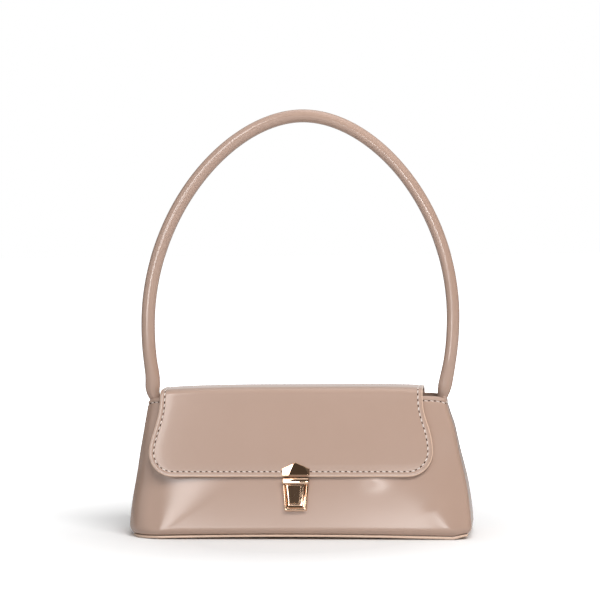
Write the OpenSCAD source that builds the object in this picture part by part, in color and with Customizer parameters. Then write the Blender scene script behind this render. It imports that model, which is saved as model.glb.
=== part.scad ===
// Small structured handbag with a front flap, a press lock and a rolled top handle.
// X runs to the right, the front faces -Y and Z is up. The origin is the centre of the base.

/* [Body] */
// Width of the body at its fullest, near the base
bag_w = 282; // [276:1:290]
// Depth of the body at the base
bag_d = 80; // [76:1:86]
// Width of the mouth
mouth_w = 247; // [246:1:249]
// Depth of the mouth
mouth_d = 34; // [33:1:36]
// Height of the mouth edge at the middle of the front
mouth_z = 115; // [112:1:118]
// Drop of the mouth edge at the sides
side_dip = 6.5; // [5:0.5:8]
// Plan corner radius at the base
corner_r = 22; // [18:1:26]
// Thickness of the leather panels
panel_t = 1.6; // [1.2:0.1:1.8]
// How far the foot of the panels rolls in
roll_in = 3; // [2:0.5:4]
// Height of that roll
roll_h = 6; // [4:0.5:8]
// Thickness of the base leather
base_t = 1.5; // [1.2:0.1:2]
// Height of the welt between the base and the panels
welt_t = 1.2; // [1:0.1:1.6]
// Thickness of the board that stiffens the base
board_t = 1.3; // [1:0.1:1.4]
// Thickness of the lining
lining_t = 0.6; // [0.4:0.1:0.7]
// Height of the leather facing inside the mouth
facing_h = 22; // [16:1:28]

/* [Flap] */
// Full width of the flap at its lower corners
flap_w = 228.2; // [224:0.2:228.2]
// Width of the flap at its two folds
flap_top_w = 214; // [206:1:216]
// Sideways offset of the flap, which is sewn slightly to the left
flap_shift = -1.8; // [-2:0.1:0]
// Height of the lower edge of the flap
flap_low_z = 50.6; // [50.4:0.1:50.8]
// Radius of the lower corners
flap_corner_r = 20.6; // [16:0.2:24]
// Thickness of the flap with its lining
flap_t = 2.5; // [2.4:0.1:2.6]
// Thickness of the flap leather
flap_leather_t = 1.2; // [1:0.1:1.3]
// Thickness of the flap lining
flap_lining_t = 0.7; // [0.5:0.1:0.75]
// Space between the flap and the front panel
flap_gap = 1; // [0.9:0.1:1.1]
// Height of the bridge of the flap above its folds
crest_h = 5.4; // [5.2:0.1:6]

/* [Handle] */
// Height of the handle's centre line above the floor
handle_z = 344.4; // [320:1:370]
// Greatest width between the handle's centre lines
handle_span = 252.4; // [252:0.2:256]
// Height at which the handle is widest
handle_wide_z = 175.5; // [165:0.5:190]
// Radius of the handle
handle_r = 5.35; // [4.8:0.05:5.4]
// Radius of the handle where it is pinched at its feet
foot_r = 3.9; // [3.4:0.1:4.2]
// Thickness of the handle's leather cover
cover_t = 1.1; // [0.8:0.1:1.4]
// Height of the axis that the handle swings on
hinge_z = 112; // [111.6:0.1:113]

/* [Lock] */
// Height of the middle of the lock
lock_z = 34; // [33:0.5:35]
// Half width of the lock plate at its top
lock_top_hw = 10.6; // [10.4:0.1:11.4]
// Half width of the lock plate at its bottom
lock_low_hw = 9.1; // [8.8:0.1:10]
// Depth of the lock plate
lock_d = 4.2; // [4:0.1:4.6]
// Depth of the bar that stands over the lock plate
bar_d = 6.2; // [6:0.1:6.8]
// Half width of the bar
bar_hw = 11; // [10.8:0.1:12]
// Travel of the push button
press = 2; // [1.6:0.1:2]
// Half width of the catch plate on the flap
catch_hw = 11.35; // [11:0.05:12.5]
// Thickness of the catch plate
catch_t = 1.6; // [1.2:0.1:1.8]

/* [Stitching] */
// Spacing of the stitches
stitch_pitch = 4.75; // [4:0.25:6]
// Distance of the stitches from an edge
stitch_in = 4.2; // [3:0.2:5]
// Distance of the stitches from the mouth edge
rim_stitch_in = 3.4; // [2.4:0.2:4.4]
// Height of a stitch over the leather
stitch_h = 0.35; // [0.2:0.05:0.45]

/* [Hidden] */
$fn = 32;

// Clearances: between layers sewn together, and between things that move
layer_gap = 0.05;
seat_gap = 0.3;
slide_gap = 0.25;
overrun = 1;

// Length of the flat at each end of the mouth, between its round corners
mouth_flat = 2;
// How the body narrows upwards
width_share = 1.6;
depth_share = 1.3;
dip_share = 20;
// Angle from the side at which the gussets are sewn to the front and back
seam_angle = 30;
// Heights of the rows of a panel, as shares of its height
panel_row_share = [0, 0.015, 0.03, 0.055, 0.11, 0.22, 0.34, 0.46, 0.58, 0.7, 0.81, 0.91, 1];
lining_row_share = [0, 0.2, 0.4, 0.6, 0.8, 1];
band_row_share = [0, 0.5, 1];

panel_z = base_t + welt_t;
board_gap = 0.1;
lining_gap = 0.4;
lining_off = panel_t + lining_gap;
base_inset = 3.5;
welt_inset = 4.5;
welt_w = 2;
pocket_w = 120;
pocket_low_z = 32;
pocket_top_z = 86;

// Shape of the body

// Half width and half depth of the body at height z, and its corner radius there
function width_at(z) = mouth_w / 2 + (bag_w - mouth_w) / 2 * (1 - pow(z / mouth_z, width_share));
function depth_at(z) = mouth_d / 2 + (bag_d - mouth_d) / 2 * (1 - pow(z / mouth_z, depth_share));
function corner_at(z) = corner_r + (mouth_d / 2 - mouth_flat / 2 - corner_r) * z / mouth_z;
// Backward lean of the front at height z, in degrees
function lean_at(z) =
    atan((bag_d - mouth_d) / 2 * depth_share * pow(z / mouth_z, depth_share - 1) / mouth_z);
function rolled(z) =
    z < panel_z + roll_h ? roll_in * pow(1 - (z - panel_z) / roll_h, 2) : 0;

// A station is a place on the plan outline: the shares of the straight half width and half
// depth, and the direction that the surface faces. skin() is its point at height z, off
// millimetres inside the outer surface.
function skin(st, z, off) =
    let (r = corner_at(z), q = r - off - rolled(z))
    [st[0] * (width_at(z) - r) + q * cos(st[2]), st[1] * (depth_at(z) - r) + q * sin(st[2]), z];
function turn(cx, cy, a0, a1, n) = [for (i = [0:n]) [cx, cy, a0 + (a1 - a0) * i / n]];
function between(from, to, n) = [for (i = [1:n - 1]) from + (to - from) * i / n];

front_stations = concat(turn(-1, -1, seam_angle - 180, -90, 5), between([-1, -1, -90], [1, -1, -90], 8),
    turn(1, -1, -90, -seam_angle, 5));
back_stations = [for (st = front_stations) [-st[0], -st[1], st[2] + 180]];
right_stations = concat(turn(1, -1, -seam_angle, 0, 3), turn(1, 1, 0, seam_angle, 3));
left_stations = [for (st = right_stations) [-st[0], -st[1], st[2] + 180]];

// Height of the mouth edge, which dips towards the sides
function rim(st) =
    mouth_z - side_dip * pow(abs(skin(st, mouth_z, 0)[0]) / (mouth_w / 2), dip_share);

// Faces of a closed slab with an outer and an inner grid of n by m points
function slab_faces(n, m) =
    let (k = n * m, t = m - 1, e = (n - 1) * m)
    concat(
        [for (i = [0:n - 2], j = [0:m - 2]) each
            let (a = i * m + j, b = a + m)
            [[a, a + 1, b + 1], [a, b + 1, b], [k + a, k + b + 1, k + a + 1], [k + a, k + b, k + b + 1]]],
        [for (i = [0:n - 2]) each
            let (a = i * m, b = a + m)
            [[a, b, k + b], [a, k + b, k + a],
            [b + t, a + t, k + a + t], [b + t, k + a + t, k + b + t]]],
        [for (j = [0:m - 2]) each
            [[j + 1, j, k + j], [j + 1, k + j, k + j + 1],
            [e + j, e + j + 1, k + e + j + 1], [e + j, k + e + j + 1, k + e + j]]]);

module slab(outer, inner)
    polyhedron([for (row = concat(outer, inner)) each row], slab_faces(len(outer), len(outer[0])));

// A panel of the body between two depths in its wall, from height low up to the edge
// or to a height top
module wall_panel(stations, low, off_out, off_in, shares, under_rim = 0) {
    function grid(off) = [for (st = stations)
        [for (s = shares) skin(st, low + s * (rim(st) - under_rim - low), off)]];
    slab(grid(off_out), grid(off_in));
}

// A strip on a straight wall between two heights. side is -1 in front and 1 behind.
module wall_strip(side, half_w, low, top, off_out, off_in) {
    stations = between([-1, side, side * 90], [1, side, side * 90], 8);
    heights = [for (i = [0:4]) low + (top - low) * i / 4];
    function grid(off) = [for (i = [0:8])
        let (u = side * (1 - i / 4))
        [for (z = heights) [u * half_w, side * (depth_at(z) - off), z]]];
    slab(grid(off_out), grid(off_in));
}

// A flat plate with the plan of the body, drawn in by inset
module plan_plate(inset, t) {
    r = corner_r - inset;
    w = bag_w / 2 - corner_r;
    d = bag_d / 2 - corner_r;
    linear_extrude(t) {
        for (x = [-w, w], y = [-d, d])
            translate([x, y])
                circle(r, $fn = 64);
        square([2 * w, 2 * (d + r)], center = true);
        square([2 * (w + r), 2 * d], center = true);
    }
}

// One stitch, lying along X on a surface that faces -Y
stitch_share = 0.7;
module stitch(length = stitch_pitch * stitch_share)
    translate([-length / 2, -stitch_h - layer_gap, -stitch_h])
        cube([length, stitch_h, 2 * stitch_h]);

// Body pieces

module base_panel()
    color("burlywood")
        plan_plate(base_inset, base_t);

module base_welt()
    color("saddlebrown")
        translate([0, 0, base_t])
            difference() {
                plan_plate(welt_inset, welt_t);
                translate([0, 0, -overrun])
                    plan_plate(welt_inset + welt_w, welt_t + 2 * overrun);
            }

module base_board()
    color("peru")
        translate([0, 0, base_t + board_gap])
            plan_plate(welt_inset + welt_w + seat_gap, board_t);

module base_lining()
    color("tan")
        translate([0, 0, base_t + 2 * board_gap + board_t])
            plan_plate(welt_inset + welt_w + seat_gap, lining_t);

module front_panel()
    color("tan")
        difference() {
            wall_panel(front_stations, panel_z, 0, panel_t, panel_row_share);
            lock_openings();
        }

module back_panel()
    color("tan")
        wall_panel(back_stations, panel_z, 0, panel_t, panel_row_share);

module left_gusset()
    color("tan")
        wall_panel(left_stations, panel_z, 0, panel_t, panel_row_share);

module right_gusset()
    color("tan")
        wall_panel(right_stations, panel_z, 0, panel_t, panel_row_share);

// The linings end under the leather facing, which closes the inside of the mouth
lining_z = base_t + 3 * board_gap + board_t + lining_t;

module front_lining()
    color("wheat")
        difference() {
            wall_panel(front_stations, lining_z, lining_off, lining_off + lining_t,
                lining_row_share, facing_h + board_gap);
            lock_openings();
        }

module back_lining()
    color("wheat")
        wall_panel(back_stations, lining_z, lining_off, lining_off + lining_t,
            lining_row_share, facing_h + board_gap);

module left_lining()
    color("wheat")
        wall_panel(left_stations, lining_z, lining_off, lining_off + lining_t,
            lining_row_share, facing_h + board_gap);

module right_lining()
    color("wheat")
        wall_panel(right_stations, lining_z, lining_off, lining_off + lining_t,
            lining_row_share, facing_h + board_gap);

facing_gap = 0.1;

module mouth_facing() {
    stations = concat(front_stations, right_stations, back_stations, left_stations);
    n = len(stations);
    m = len(band_row_share);
    k = n * m;
    t = m - 1;
    function grid(off) = [for (st = stations)
        for (s = band_row_share) skin(st, rim(st) - facing_h * (1 - s), off)];
    function quads(a, b) = concat(
        [for (j = [0:m - 2]) each [
            [a + j, a + j + 1, b + j + 1], [a + j, b + j + 1, b + j],
            [k + a + j, k + b + j + 1, k + a + j + 1], [k + a + j, k + b + j, k + b + j + 1]]],
        [[a, b, k + b], [a, k + b, k + a], [b + t, a + t, k + a + t], [b + t, k + a + t, k + b + t]]);
    color("tan")
        polyhedron(concat(grid(panel_t + facing_gap), grid(panel_t + facing_gap + lining_t)),
            [for (i = [0:n - 1]) each quads(i * m, ((i + 1) % n) * m)]);
}

module slip_pocket()
    color("wheat")
        wall_strip(1, pocket_w / 2, pocket_low_z, pocket_top_z,
            lining_off + lining_t + 2 * board_gap, lining_off + 2 * lining_t + 2 * board_gap);

// The stitches of the mouth run along the front and round both ends
module mouth_stitching()
    color("linen") {
        half = width_at(mouth_z) - corner_at(mouth_z);
        front_n = floor(2 * half / stitch_pitch);
        end_n = floor(PI * mouth_d / 2 / stitch_pitch);
        stations = concat(
            [for (i = [0:front_n - 1]) [(2 * i + 1) / front_n - 1, -1, -90]],
            [for (side = [0, 180], i = [0:end_n - 1])
                let (angle = -90 + 180 * (i + 0.5) / end_n)
                [side == 0 ? 1 : -1, angle < 0 == (side == 0) ? -1 : 1, angle + side]]);
        for (st = stations)
            translate(skin(st, rim(st) - rim_stitch_in, 0))
                rotate([0, 0, st[2] + 90])
                    rotate([-lean_at(mouth_z), 0, 0])
                        stitch();
    }

// Handle tabs, sewn to the facing inside each end of the mouth
tab_angle = 24;
tab_h = 20;
tab_t = 1.8;
tab_gap = 0.15;
foot_roll_r = 3.4;

module handle_tab(side) {
    stations = turn(side, 0, (1 - side) * 90 - tab_angle, (1 - side) * 90 + tab_angle, 4);
    top = hinge_z - foot_roll_r - seat_gap;
    off = panel_t + facing_gap + lining_t + tab_gap;
    function grid(off) = [for (st = stations)
        [for (i = [0:3]) let (z = top - tab_h * (1 - i / 3)) skin(st, z, off)]];
    slab(grid(off), grid(off + tab_t));
}

module left_handle_tab()
    color("tan")
        handle_tab(-1);

module right_handle_tab()
    color("tan")
        handle_tab(1);

// Flap

// A point of the flap's section: the panel height that it lies over, and its depth below
// the flap's outer surface
function flap_yz(z, off) =
    let (h = flap_gap + flap_t - off, a = lean_at(z))
    [-depth_at(z) - h * cos(a), z + h * sin(a)];
fold_rise = 0.6;
fold_z = mouth_z + fold_rise;
fold = flap_yz(fold_z, flap_t / 2);
// The back hinge of the flap lies on its outer skin, so that it can fold right over
hinge_y = flap_t / 2 - fold[0];
knuckle_step = 0.1;
knuckle_r = flap_t / 2 - knuckle_step;
crest_end_dip = 0.8;
crest_share = 2.8;
flare_share = 1.25;
wide_z = flap_low_z + flap_corner_r;

// Half width of the flap at height z above its lower corners
function flap_hw(z) =
    let (t = (fold_z - z) / (fold_z - wide_z), s = pow(max(0, t), flare_share))
    flap_top_w / 2 + (flap_w - flap_top_w) / 2 * s * s * (3 - 2 * s);

// Rows of the flap from its lower edge up to its fold, each a height and a half width
function flap_rows(inset, top) = concat(
    [for (i = [0:6]) let (a = 90 - 15 * i, r = flap_corner_r - inset)
        [wide_z - r * sin(a), flap_w / 2 - flap_corner_r + r * cos(a)]],
    [for (i = [1:7]) let (z = wide_z + (top - wide_z) * i / 7) [z, flap_hw(z) - inset]]);

flap_columns = 12;
module flap_sheet(inset, top, off_out, off_in) {
    rows = flap_rows(inset, top);
    function grid(off) = [for (i = [0:flap_columns])
        [for (row = rows) let (p = flap_yz(row[0], off))
            [flap_shift + row[1] * (2 * i / flap_columns - 1), p[0], p[1]]]];
    slab(grid(off_out), grid(off_in));
}

// The bridge is an arch between the folds. Its section is a superellipse.
module bridge_sheet(inset, off_out, off_in, t0, t1) {
    function arch(u, off, t) =
        let (w = hinge_y - off, h = crest_h - crest_end_dip * u * u - off,
            c = cos(t), s = sin(t), p = 2 / crest_share)
        [-sign(c) * w * pow(abs(c), p), fold[1] + h * pow(s, p)];
    function grid(off) = [for (i = [0:flap_columns])
        let (u = 2 * i / flap_columns - 1)
        [for (j = [0:10]) let (q = arch(u, off, t0 + (t1 - t0) * j / 10))
            [flap_shift + u * (flap_top_w / 2 - inset), q[0], q[1]]]];
    slab(grid(off_out), grid(off_in));
}

// The rounded end that the front of the flap turns on
module knuckle()
    translate([flap_shift - flap_top_w / 2, fold[0], fold[1]])
        rotate([0, 90, 0])
            cylinder(h = flap_top_w, r = knuckle_r);

// The strip behind the hinge by which the flap is sewn to the back panel
anchor_h = 16;
anchor_t = 2;
anchor_gap = 0.3;
anchor_top_z = fold[1] - seat_gap;

module flap_anchor()
    color("tan")
        translate([flap_shift, 0, 0])
            wall_strip(1, flap_top_w / 2, anchor_top_z - anchor_h, anchor_top_z,
                -anchor_gap - anchor_t, -anchor_gap);

module anchor_stitching()
    color("linen") {
        z = anchor_top_z - anchor_h + stitch_in;
        n = floor((flap_top_w - 2 * stitch_in) / stitch_pitch);
        for (i = [0:n - 1])
            translate([flap_shift + (i - (n - 1) / 2) * stitch_pitch,
                    depth_at(z) + anchor_gap + anchor_t, z])
                rotate([lean_at(z), 0, 0])
                    rotate([0, 0, 180])
                        stitch();
    }

// Where the arch starts behind the front knuckle, as an angle round its section
bridge_turn = 20;
lining_turn = 26;
lining_edge = 1;

module flap_bridge()
    color("tan")
        bridge_sheet(0, 0, flap_leather_t, bridge_turn, 180);

module bridge_lining()
    color("wheat")
        bridge_sheet(lining_edge, flap_t - flap_lining_t, flap_t, lining_turn, 180);

// Part of the arch's depth that the stitches cover
sewn_share = 0.8;

module bridge_stitching() {
    u = 1 - 2 * stitch_in / flap_top_w;
    w = hinge_y;
    function top(y) = [y, fold[1] + (crest_h - crest_end_dip * u * u)
        * pow(1 - pow(abs(y) / w, crest_share), 1 / crest_share)];
    n = floor(2 * sewn_share * w / stitch_pitch);
    color("linen")
        for (side = [-1, 1], i = [0:n - 1])
            let (y = (i - (n - 1) / 2) * stitch_pitch, d = stitch_pitch / 3,
                a = top(y - d), b = top(y + d))
            translate([flap_shift + side * u * flap_top_w / 2, y, (a[1] + b[1]) / 2 + 2 * layer_gap])
                rotate([atan2(b[1] - a[1], b[0] - a[0]), 0, 0])
                    rotate([0, 0, 90])
                        rotate([-90, 0, 0])
                            stitch();
}

module flap_front()
    color("tan")
        difference() {
            union() {
                flap_sheet(0, fold_z, 0, flap_leather_t);
                knuckle();
            }
            catch_holes();
        }

stiffener_inset = 6;
module flap_stiffener()
    color("peru")
        difference() {
            flap_sheet(stiffener_inset, mouth_z - stiffener_inset, flap_leather_t + layer_gap,
                flap_t - flap_lining_t - layer_gap);
            catch_holes();
        }

module flap_lining()
    color("wheat")
        difference() {
            flap_sheet(lining_edge, mouth_z - lining_edge, flap_t - flap_lining_t, flap_t);
            catch_holes();
        }

// Stitches down both sides, round the corners and along the lower edge of the flap. The side
// stitches start this share of a stitch above the corner, and slope with the edge.
first_stitch_share = 0.6;
side_slope = 10;
module flap_stitch(x, z, turned)
    let (p = flap_yz(z, 0))
    translate([x, p[0], p[1]])
        rotate([-lean_at(z), 0, 0])
            rotate([0, turned, 0])
                stitch();

module flap_stitching()
    color("linen") {
        r = flap_corner_r - stitch_in;
        low_hw = flap_w / 2 - flap_corner_r;
        side_n = floor((fold_z - wide_z) / stitch_pitch);
        low_n = floor(2 * low_hw / stitch_pitch);
        turn_n = floor(PI / 2 * r / stitch_pitch);
        for (side = [-1, 1], i = [0:side_n - 1])
            let (z = wide_z + (i + first_stitch_share) * stitch_pitch)
            flap_stitch(flap_shift + side * (flap_hw(z) - stitch_in), z, 90 - side * side_slope);
        for (side = [-1, 1], i = [0:turn_n - 1])
            let (a = 90 * (i + 0.5) / turn_n)
            flap_stitch(flap_shift + side * (low_hw + r * sin(a)), wide_z - r * cos(a), -side * a);
        for (i = [0:low_n - 1])
            let (x = flap_shift + (i - (low_n - 1) / 2) * stitch_pitch)
            if (abs(x) > catch_hw + stitch_pitch / 2)
                flap_stitch(x, wide_z - r, 0);
    }

// Lock. Its frame lies on the front panel, with Z up the panel and -Y away from it.

module on_lock()
    translate([0, -depth_at(lock_z), lock_z])
        rotate([-lean_at(lock_z), 0, 0])
            children();

// Heights in that frame
plate_low = -10.8;
plate_top = 10.9;
bar_top = 15.8;
lip_gap = 0.4;
lip_low = bar_top + lip_gap;
lip_t = 0.5;
lock_back = 0.3;
rim_t = 0.9;
housing_hw = 6.6;
housing_low = -4;
housing_top = 16.5;
housing_front = 0.2;
housing_t = 0.5;
post_r = 0.8;
post_top_x = 9.2;
post_low_x = 5;
post_low_z = -8;
post_top_z = 13.2;
washer_y = 3.1;
washer_t = 0.6;
washer_edge = 3;
button_top_hw = 7.35;
button_low_hw = 5.65;
button_low = -6.6;
button_top = 10.6;
button_d = 6;
button_bevel = 1.9;
flange = 0.7;
flange_t = 0.8;
flange_y = -lock_d + rim_t;
latch_hw = 2.4;
latch_t = 0.5;
latch_arm_y = 2.2;
latch_foot_z = 6;
latch_drop = 0.2;
latch_top = bar_top - latch_drop;
nose_y = -1;
nose_w = 0.9;
nose_gap = 0.19;
nose_slope_share = 0.42;
// The housing leaves room for the latch to go in with the button
stop_gap = 0.2;
housing_back = latch_arm_y + latch_t + press + stop_gap + housing_t;
tongue_hw = 4.2;
tongue_t = 0.8;
tongue_y = -4.2;
tongue_window = [-1.5, 0.9];
tongue_end_y = 1.6;
throat_gap = 0.3;

// A symmetric outline that is w0 half wide at z0 and w1 half wide at z1, t deep behind y
module tapered(w0, z0, w1, z1, y, t)
    translate([0, y + t, 0])
        rotate([90, 0, 0])
            linear_extrude(t)
                polygon([[-w0, z0], [w0, z0], [w1, z1], [-w1, z1]]);

module posts(x, z, y0, y1, r)
    for (side = [-1, 1])
        translate([side * x, y0, z])
            rotate([-90, 0, 0])
                cylinder(h = y1 - y0, r = r);

module lock_openings()
    on_lock() {
        translate([-housing_hw - seat_gap, -2 * overrun, housing_low - seat_gap])
            cube([2 * (housing_hw + seat_gap), 4 * overrun + washer_y,
                housing_top - housing_low + 1.5 * seat_gap]);
        posts(post_low_x, post_low_z, -2 * overrun, 2 * overrun + washer_y, post_r + layer_gap);
        posts(post_top_x, post_top_z, -2 * overrun, 2 * overrun + washer_y, post_r + layer_gap);
    }

plate_edge = 0.9;
module lock_plate()
    color("rosybrown")
        on_lock()
            difference() {
                union() {
                    hull() {
                        tapered(lock_low_hw, plate_low, lock_top_hw, plate_top,
                            -lock_back - lock_d / 2, lock_d / 2);
                        tapered(lock_low_hw - plate_edge, plate_low + plate_edge,
                            lock_top_hw - plate_edge, plate_top - layer_gap, -lock_d, lock_d / 2);
                    }
                    posts(post_low_x, post_low_z, -overrun, washer_y + washer_t + layer_gap, post_r);
                }
                tapered(button_low_hw + slide_gap, button_low - slide_gap,
                    button_top_hw + slide_gap, plate_top + overrun, -lock_d - overrun, lock_d + overrun);
                tapered(button_low_hw + flange + slide_gap, button_low - flange - slide_gap,
                    button_top_hw + flange + slide_gap, plate_top + overrun, flange_y, lock_d + overrun);
            }

// Centre that the lower edge of the flap turns about as it starts to lift, in the lock's frame
fold_ratio = 0.5;
turn_y = (hinge_y + fold_ratio * fold[0]) / (1 + fold_ratio);
turn_dy = turn_y + depth_at(lock_z);
turn_dz = fold[1] - lock_z;
turn_ly = turn_dy * cos(lean_at(lock_z)) - turn_dz * sin(lean_at(lock_z));
turn_lz = turn_dy * sin(lean_at(lock_z)) + turn_dz * cos(lean_at(lock_z));
tongue_r = norm([tongue_y - turn_ly, lip_low - turn_lz]);

// A sheet bent about that centre, from y0 to y1 measured across the lock
module swung_sheet(hw, t, y0, y1) {
    a0 = asin((turn_ly - y0) / tongue_r);
    a1 = asin((turn_ly - y1) / tongue_r);
    translate([-hw, turn_ly, turn_lz])
        rotate([-a0 + 180, 0, 0])
            rotate([0, 90, 0])
                rotate([0, 0, 180])
                    rotate_extrude(angle = a0 - a1, $fn = 360)
                        translate([tongue_r - t / 2, 0])
                            square([t, 2 * hw]);
}

module lock_bar()
    color("rosybrown")
        on_lock()
            difference() {
                union() {
                    translate([-bar_hw, -bar_d, plate_top + layer_gap])
                        cube([2 * bar_hw, bar_d - lock_back, bar_top - plate_top - layer_gap]);
                    posts(post_top_x, post_top_z, -overrun, washer_y + washer_t + layer_gap, post_r);
                }
                swung_sheet(tongue_hw + throat_gap, tongue_t + 2 * throat_gap,
                    tongue_y - 2 * overrun, tongue_end_y);
                translate([-latch_hw - slide_gap, nose_y - slide_gap, latch_foot_z])
                    cube([2 * (latch_hw + slide_gap), bar_d, bar_top]);
            }

module lock_housing()
    color("gray")
        on_lock()
            difference() {
                translate([-housing_hw, housing_front, housing_low])
                    cube([2 * housing_hw, housing_back - housing_front, housing_top - housing_low]);
                translate([-housing_hw + housing_t, housing_front - overrun, housing_low + housing_t])
                    cube([2 * (housing_hw - housing_t), housing_back - housing_front - housing_t + overrun,
                        housing_top - housing_low - 2 * housing_t]);
            }

module lock_washer()
    color("gray")
        on_lock()
            difference() {
                translate([-bar_hw - washer_edge, washer_y, plate_low - washer_edge])
                    cube([2 * (bar_hw + washer_edge), washer_t, housing_top - plate_low + 2 * washer_edge]);
                translate([-housing_hw - layer_gap, washer_y - overrun, housing_low - layer_gap])
                    cube([2 * (housing_hw + layer_gap), washer_t + 2 * overrun,
                        housing_top - housing_low + 2 * layer_gap]);
                posts(post_low_x, post_low_z, washer_y - overrun, washer_y + washer_t + overrun,
                    post_r + layer_gap);
                posts(post_top_x, post_top_z, washer_y - overrun, washer_y + washer_t + overrun,
                    post_r + layer_gap);
            }

// A round tube swept along points in space, with flat ends
function unit(v) = v / norm(v);
function along(path, i) = unit(path[min(i + 1, len(path) - 1)] - path[max(i - 1, 0)]);
function ring(path, i, r, side, n) =
    let (a = along(path, i), b = unit(cross(side, a)), c = cross(a, b))
    [for (k = [0:n - 1]) path[i] + r * (cos(360 * k / n) * b + sin(360 * k / n) * c)];
module swept(path, radii, side, n) {
    m = len(path);
    last = (m - 1) * n;
    polyhedron([for (i = [0:m - 1]) each ring(path, i, radii[i], side, n)],
        concat([[for (k = [0:n - 1]) k]], [[for (k = [n - 1:-1:0]) last + k]],
            [for (i = [0:m - 2], k = [0:n - 1]) each
                let (a = i * n + k, b = i * n + (k + 1) % n)
                [[a, a + n, b + n], [a, b + n, b]]]));
}

spring_r = 2.2;
spring_wire_r = 0.3;
spring_turns = 4;
spring_z = 1;
module button_spring()
    color("silver")
        on_lock()
            translate([0, flange_y + flange_t + spring_wire_r + layer_gap, spring_z])
                rotate([-90, 0, 0]) {
                    length = housing_back - housing_t - layer_gap - flange_y - flange_t
                        - 2 * (spring_wire_r + layer_gap);
                    path = [for (i = [0:12 * spring_turns])
                        [spring_r * cos(30 * i), spring_r * sin(30 * i), length * i / (12 * spring_turns)]];
                    swept(path, [for (p = path) spring_wire_r], [0, 0, 1], 6);
                }

// Push button and the latch on its back

module push_button()
    color("mistyrose")
        on_lock() {
            hull() {
                tapered(button_low_hw, button_low, button_top_hw, button_top,
                    -button_d + button_bevel, button_d - button_bevel + flange_y + flange_t);
                tapered(button_low_hw - button_bevel, button_low + button_bevel,
                    button_top_hw - button_bevel, button_top - button_bevel / 2,
                    -button_d, layer_gap);
            }
            tapered(button_low_hw + flange, button_low - flange, button_top_hw + flange, button_top,
                flange_y + layer_gap, flange_t - layer_gap);
        }

module button_latch()
    color("gray")
        on_lock() {
            nose_top = latch_top - latch_t;
            surface = turn_lz - sqrt(pow(tongue_r - tongue_t / 2, 2) - pow(turn_ly - nose_y, 2));
            back = flange_y + flange_t;
            for (box = [
                    [back, latch_foot_z, latch_arm_y + latch_t - back, latch_t],
                    [latch_arm_y, latch_foot_z, latch_t, latch_top - latch_foot_z],
                    [nose_y, nose_top, latch_arm_y + latch_t - nose_y, latch_t]])
                translate([-latch_hw, box[0], box[1]])
                    cube([2 * latch_hw, box[2], box[3]]);
            nose_low = surface - nose_gap;
            translate([-latch_hw, nose_y, 0])
                rotate([90, 0, 90])
                    linear_extrude(2 * latch_hw)
                        polygon([[0, nose_top + latch_t], [0, nose_low],
                            [nose_w, nose_low - nose_w * nose_slope_share], [nose_w, nose_top + latch_t]]);
        }

// Catch on the flap

catch_z = 56.3;
module on_catch()
    let (p = flap_yz(catch_z, 0))
    translate([0, p[0], p[1]])
        rotate([-lean_at(catch_z), 0, 0])
            children();

catch_low = -4.9;
catch_shoulder = 1;
catch_apex = 6;
catch_edge = 0.7;
rivet_x = 7;
rivet_z = -1.6;
rivet_r = 0.9;
hook_y = flap_t + 2 * layer_gap;

module catch_outline(inset) {
    w = catch_hw - inset;
    polygon([[-w, catch_low + inset], [w, catch_low + inset], [w, catch_shoulder - inset / 2],
        [0, catch_apex - inset], [-w, catch_shoulder - inset / 2]]);
}

module catch_holes()
    on_catch()
        posts(rivet_x, rivet_z, -overrun, flap_t + overrun, rivet_r + layer_gap);

module catch_plate()
    color("rosybrown")
        on_catch() {
            hull() {
                translate([0, -layer_gap, 0])
                    rotate([90, 0, 0])
                        linear_extrude(catch_t / 2)
                            catch_outline(0);
                translate([0, -layer_gap, 0])
                    rotate([90, 0, 0])
                        linear_extrude(catch_t)
                            catch_outline(catch_edge);
            }
            posts(rivet_x, rivet_z, -catch_t / 2, hook_y, rivet_r);
        }

hook_t = 0.4;
hook_hw = 9.5;
hook_h = 9;
module catch_hook()
    color("peru")
        on_lock() {
            translate([-hook_hw, -catch_t - flap_t - flap_gap + 3 * layer_gap, lip_low])
                cube([2 * hook_hw, catch_t + flap_t + flap_gap - 5 * layer_gap, lip_t]);
            translate([-hook_hw, -hook_t - 2 * layer_gap, lip_low])
                cube([2 * hook_hw, hook_t, hook_h]);
            difference() {
                swung_sheet(tongue_hw, tongue_t, tongue_y, tongue_end_y);
                translate([-latch_hw - slide_gap, tongue_window[0], 0])
                    cube([2 * (latch_hw + slide_gap), tongue_window[1] - tongue_window[0], lip_low - lip_t]);
            }
        }

// Handle

foot_inset = 6.2;
foot_x = width_at(hinge_z) - foot_inset;
top_pull = 59;
shoulder_pull = 92.5;
waist_pull = 28;
foot_pull = 19;
foot_splay = 4;
taper_h = 30;
taper_share = 1.5;
handle_sides = 12;
steps = 15;

function bezier(a, b, c, d, t) =
    pow(1 - t, 3) * a + 3 * pow(1 - t, 2) * t * b + 3 * (1 - t) * t * t * c + pow(t, 3) * d;
// Half of the centre line from the top to the right foot, ended at height low
function half_line(low) = concat(
    [for (i = [0:steps - 1]) bezier([0, 0, handle_z], [top_pull, 0, handle_z],
        [handle_span / 2, 0, handle_wide_z + shoulder_pull], [handle_span / 2, 0, handle_wide_z], i / steps)],
    [for (i = [0:steps])
        let (p = bezier([handle_span / 2, 0, handle_wide_z], [handle_span / 2, 0, handle_wide_z - waist_pull],
            [foot_x + foot_splay, 0, hinge_z + foot_pull], [foot_x, 0, hinge_z], i / steps))
        if (p[2] >= low) p]);
function whole_line(low) =
    let (half = half_line(low), n = len(half))
    concat([for (i = [n - 1:-1:1]) [-half[i][0], 0, half[i][2]]], half);
function handle_radius(z) =
    handle_r - (handle_r - foot_r) * pow(max(0, 1 - (z - hinge_z) / taper_h), taper_share);

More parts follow.
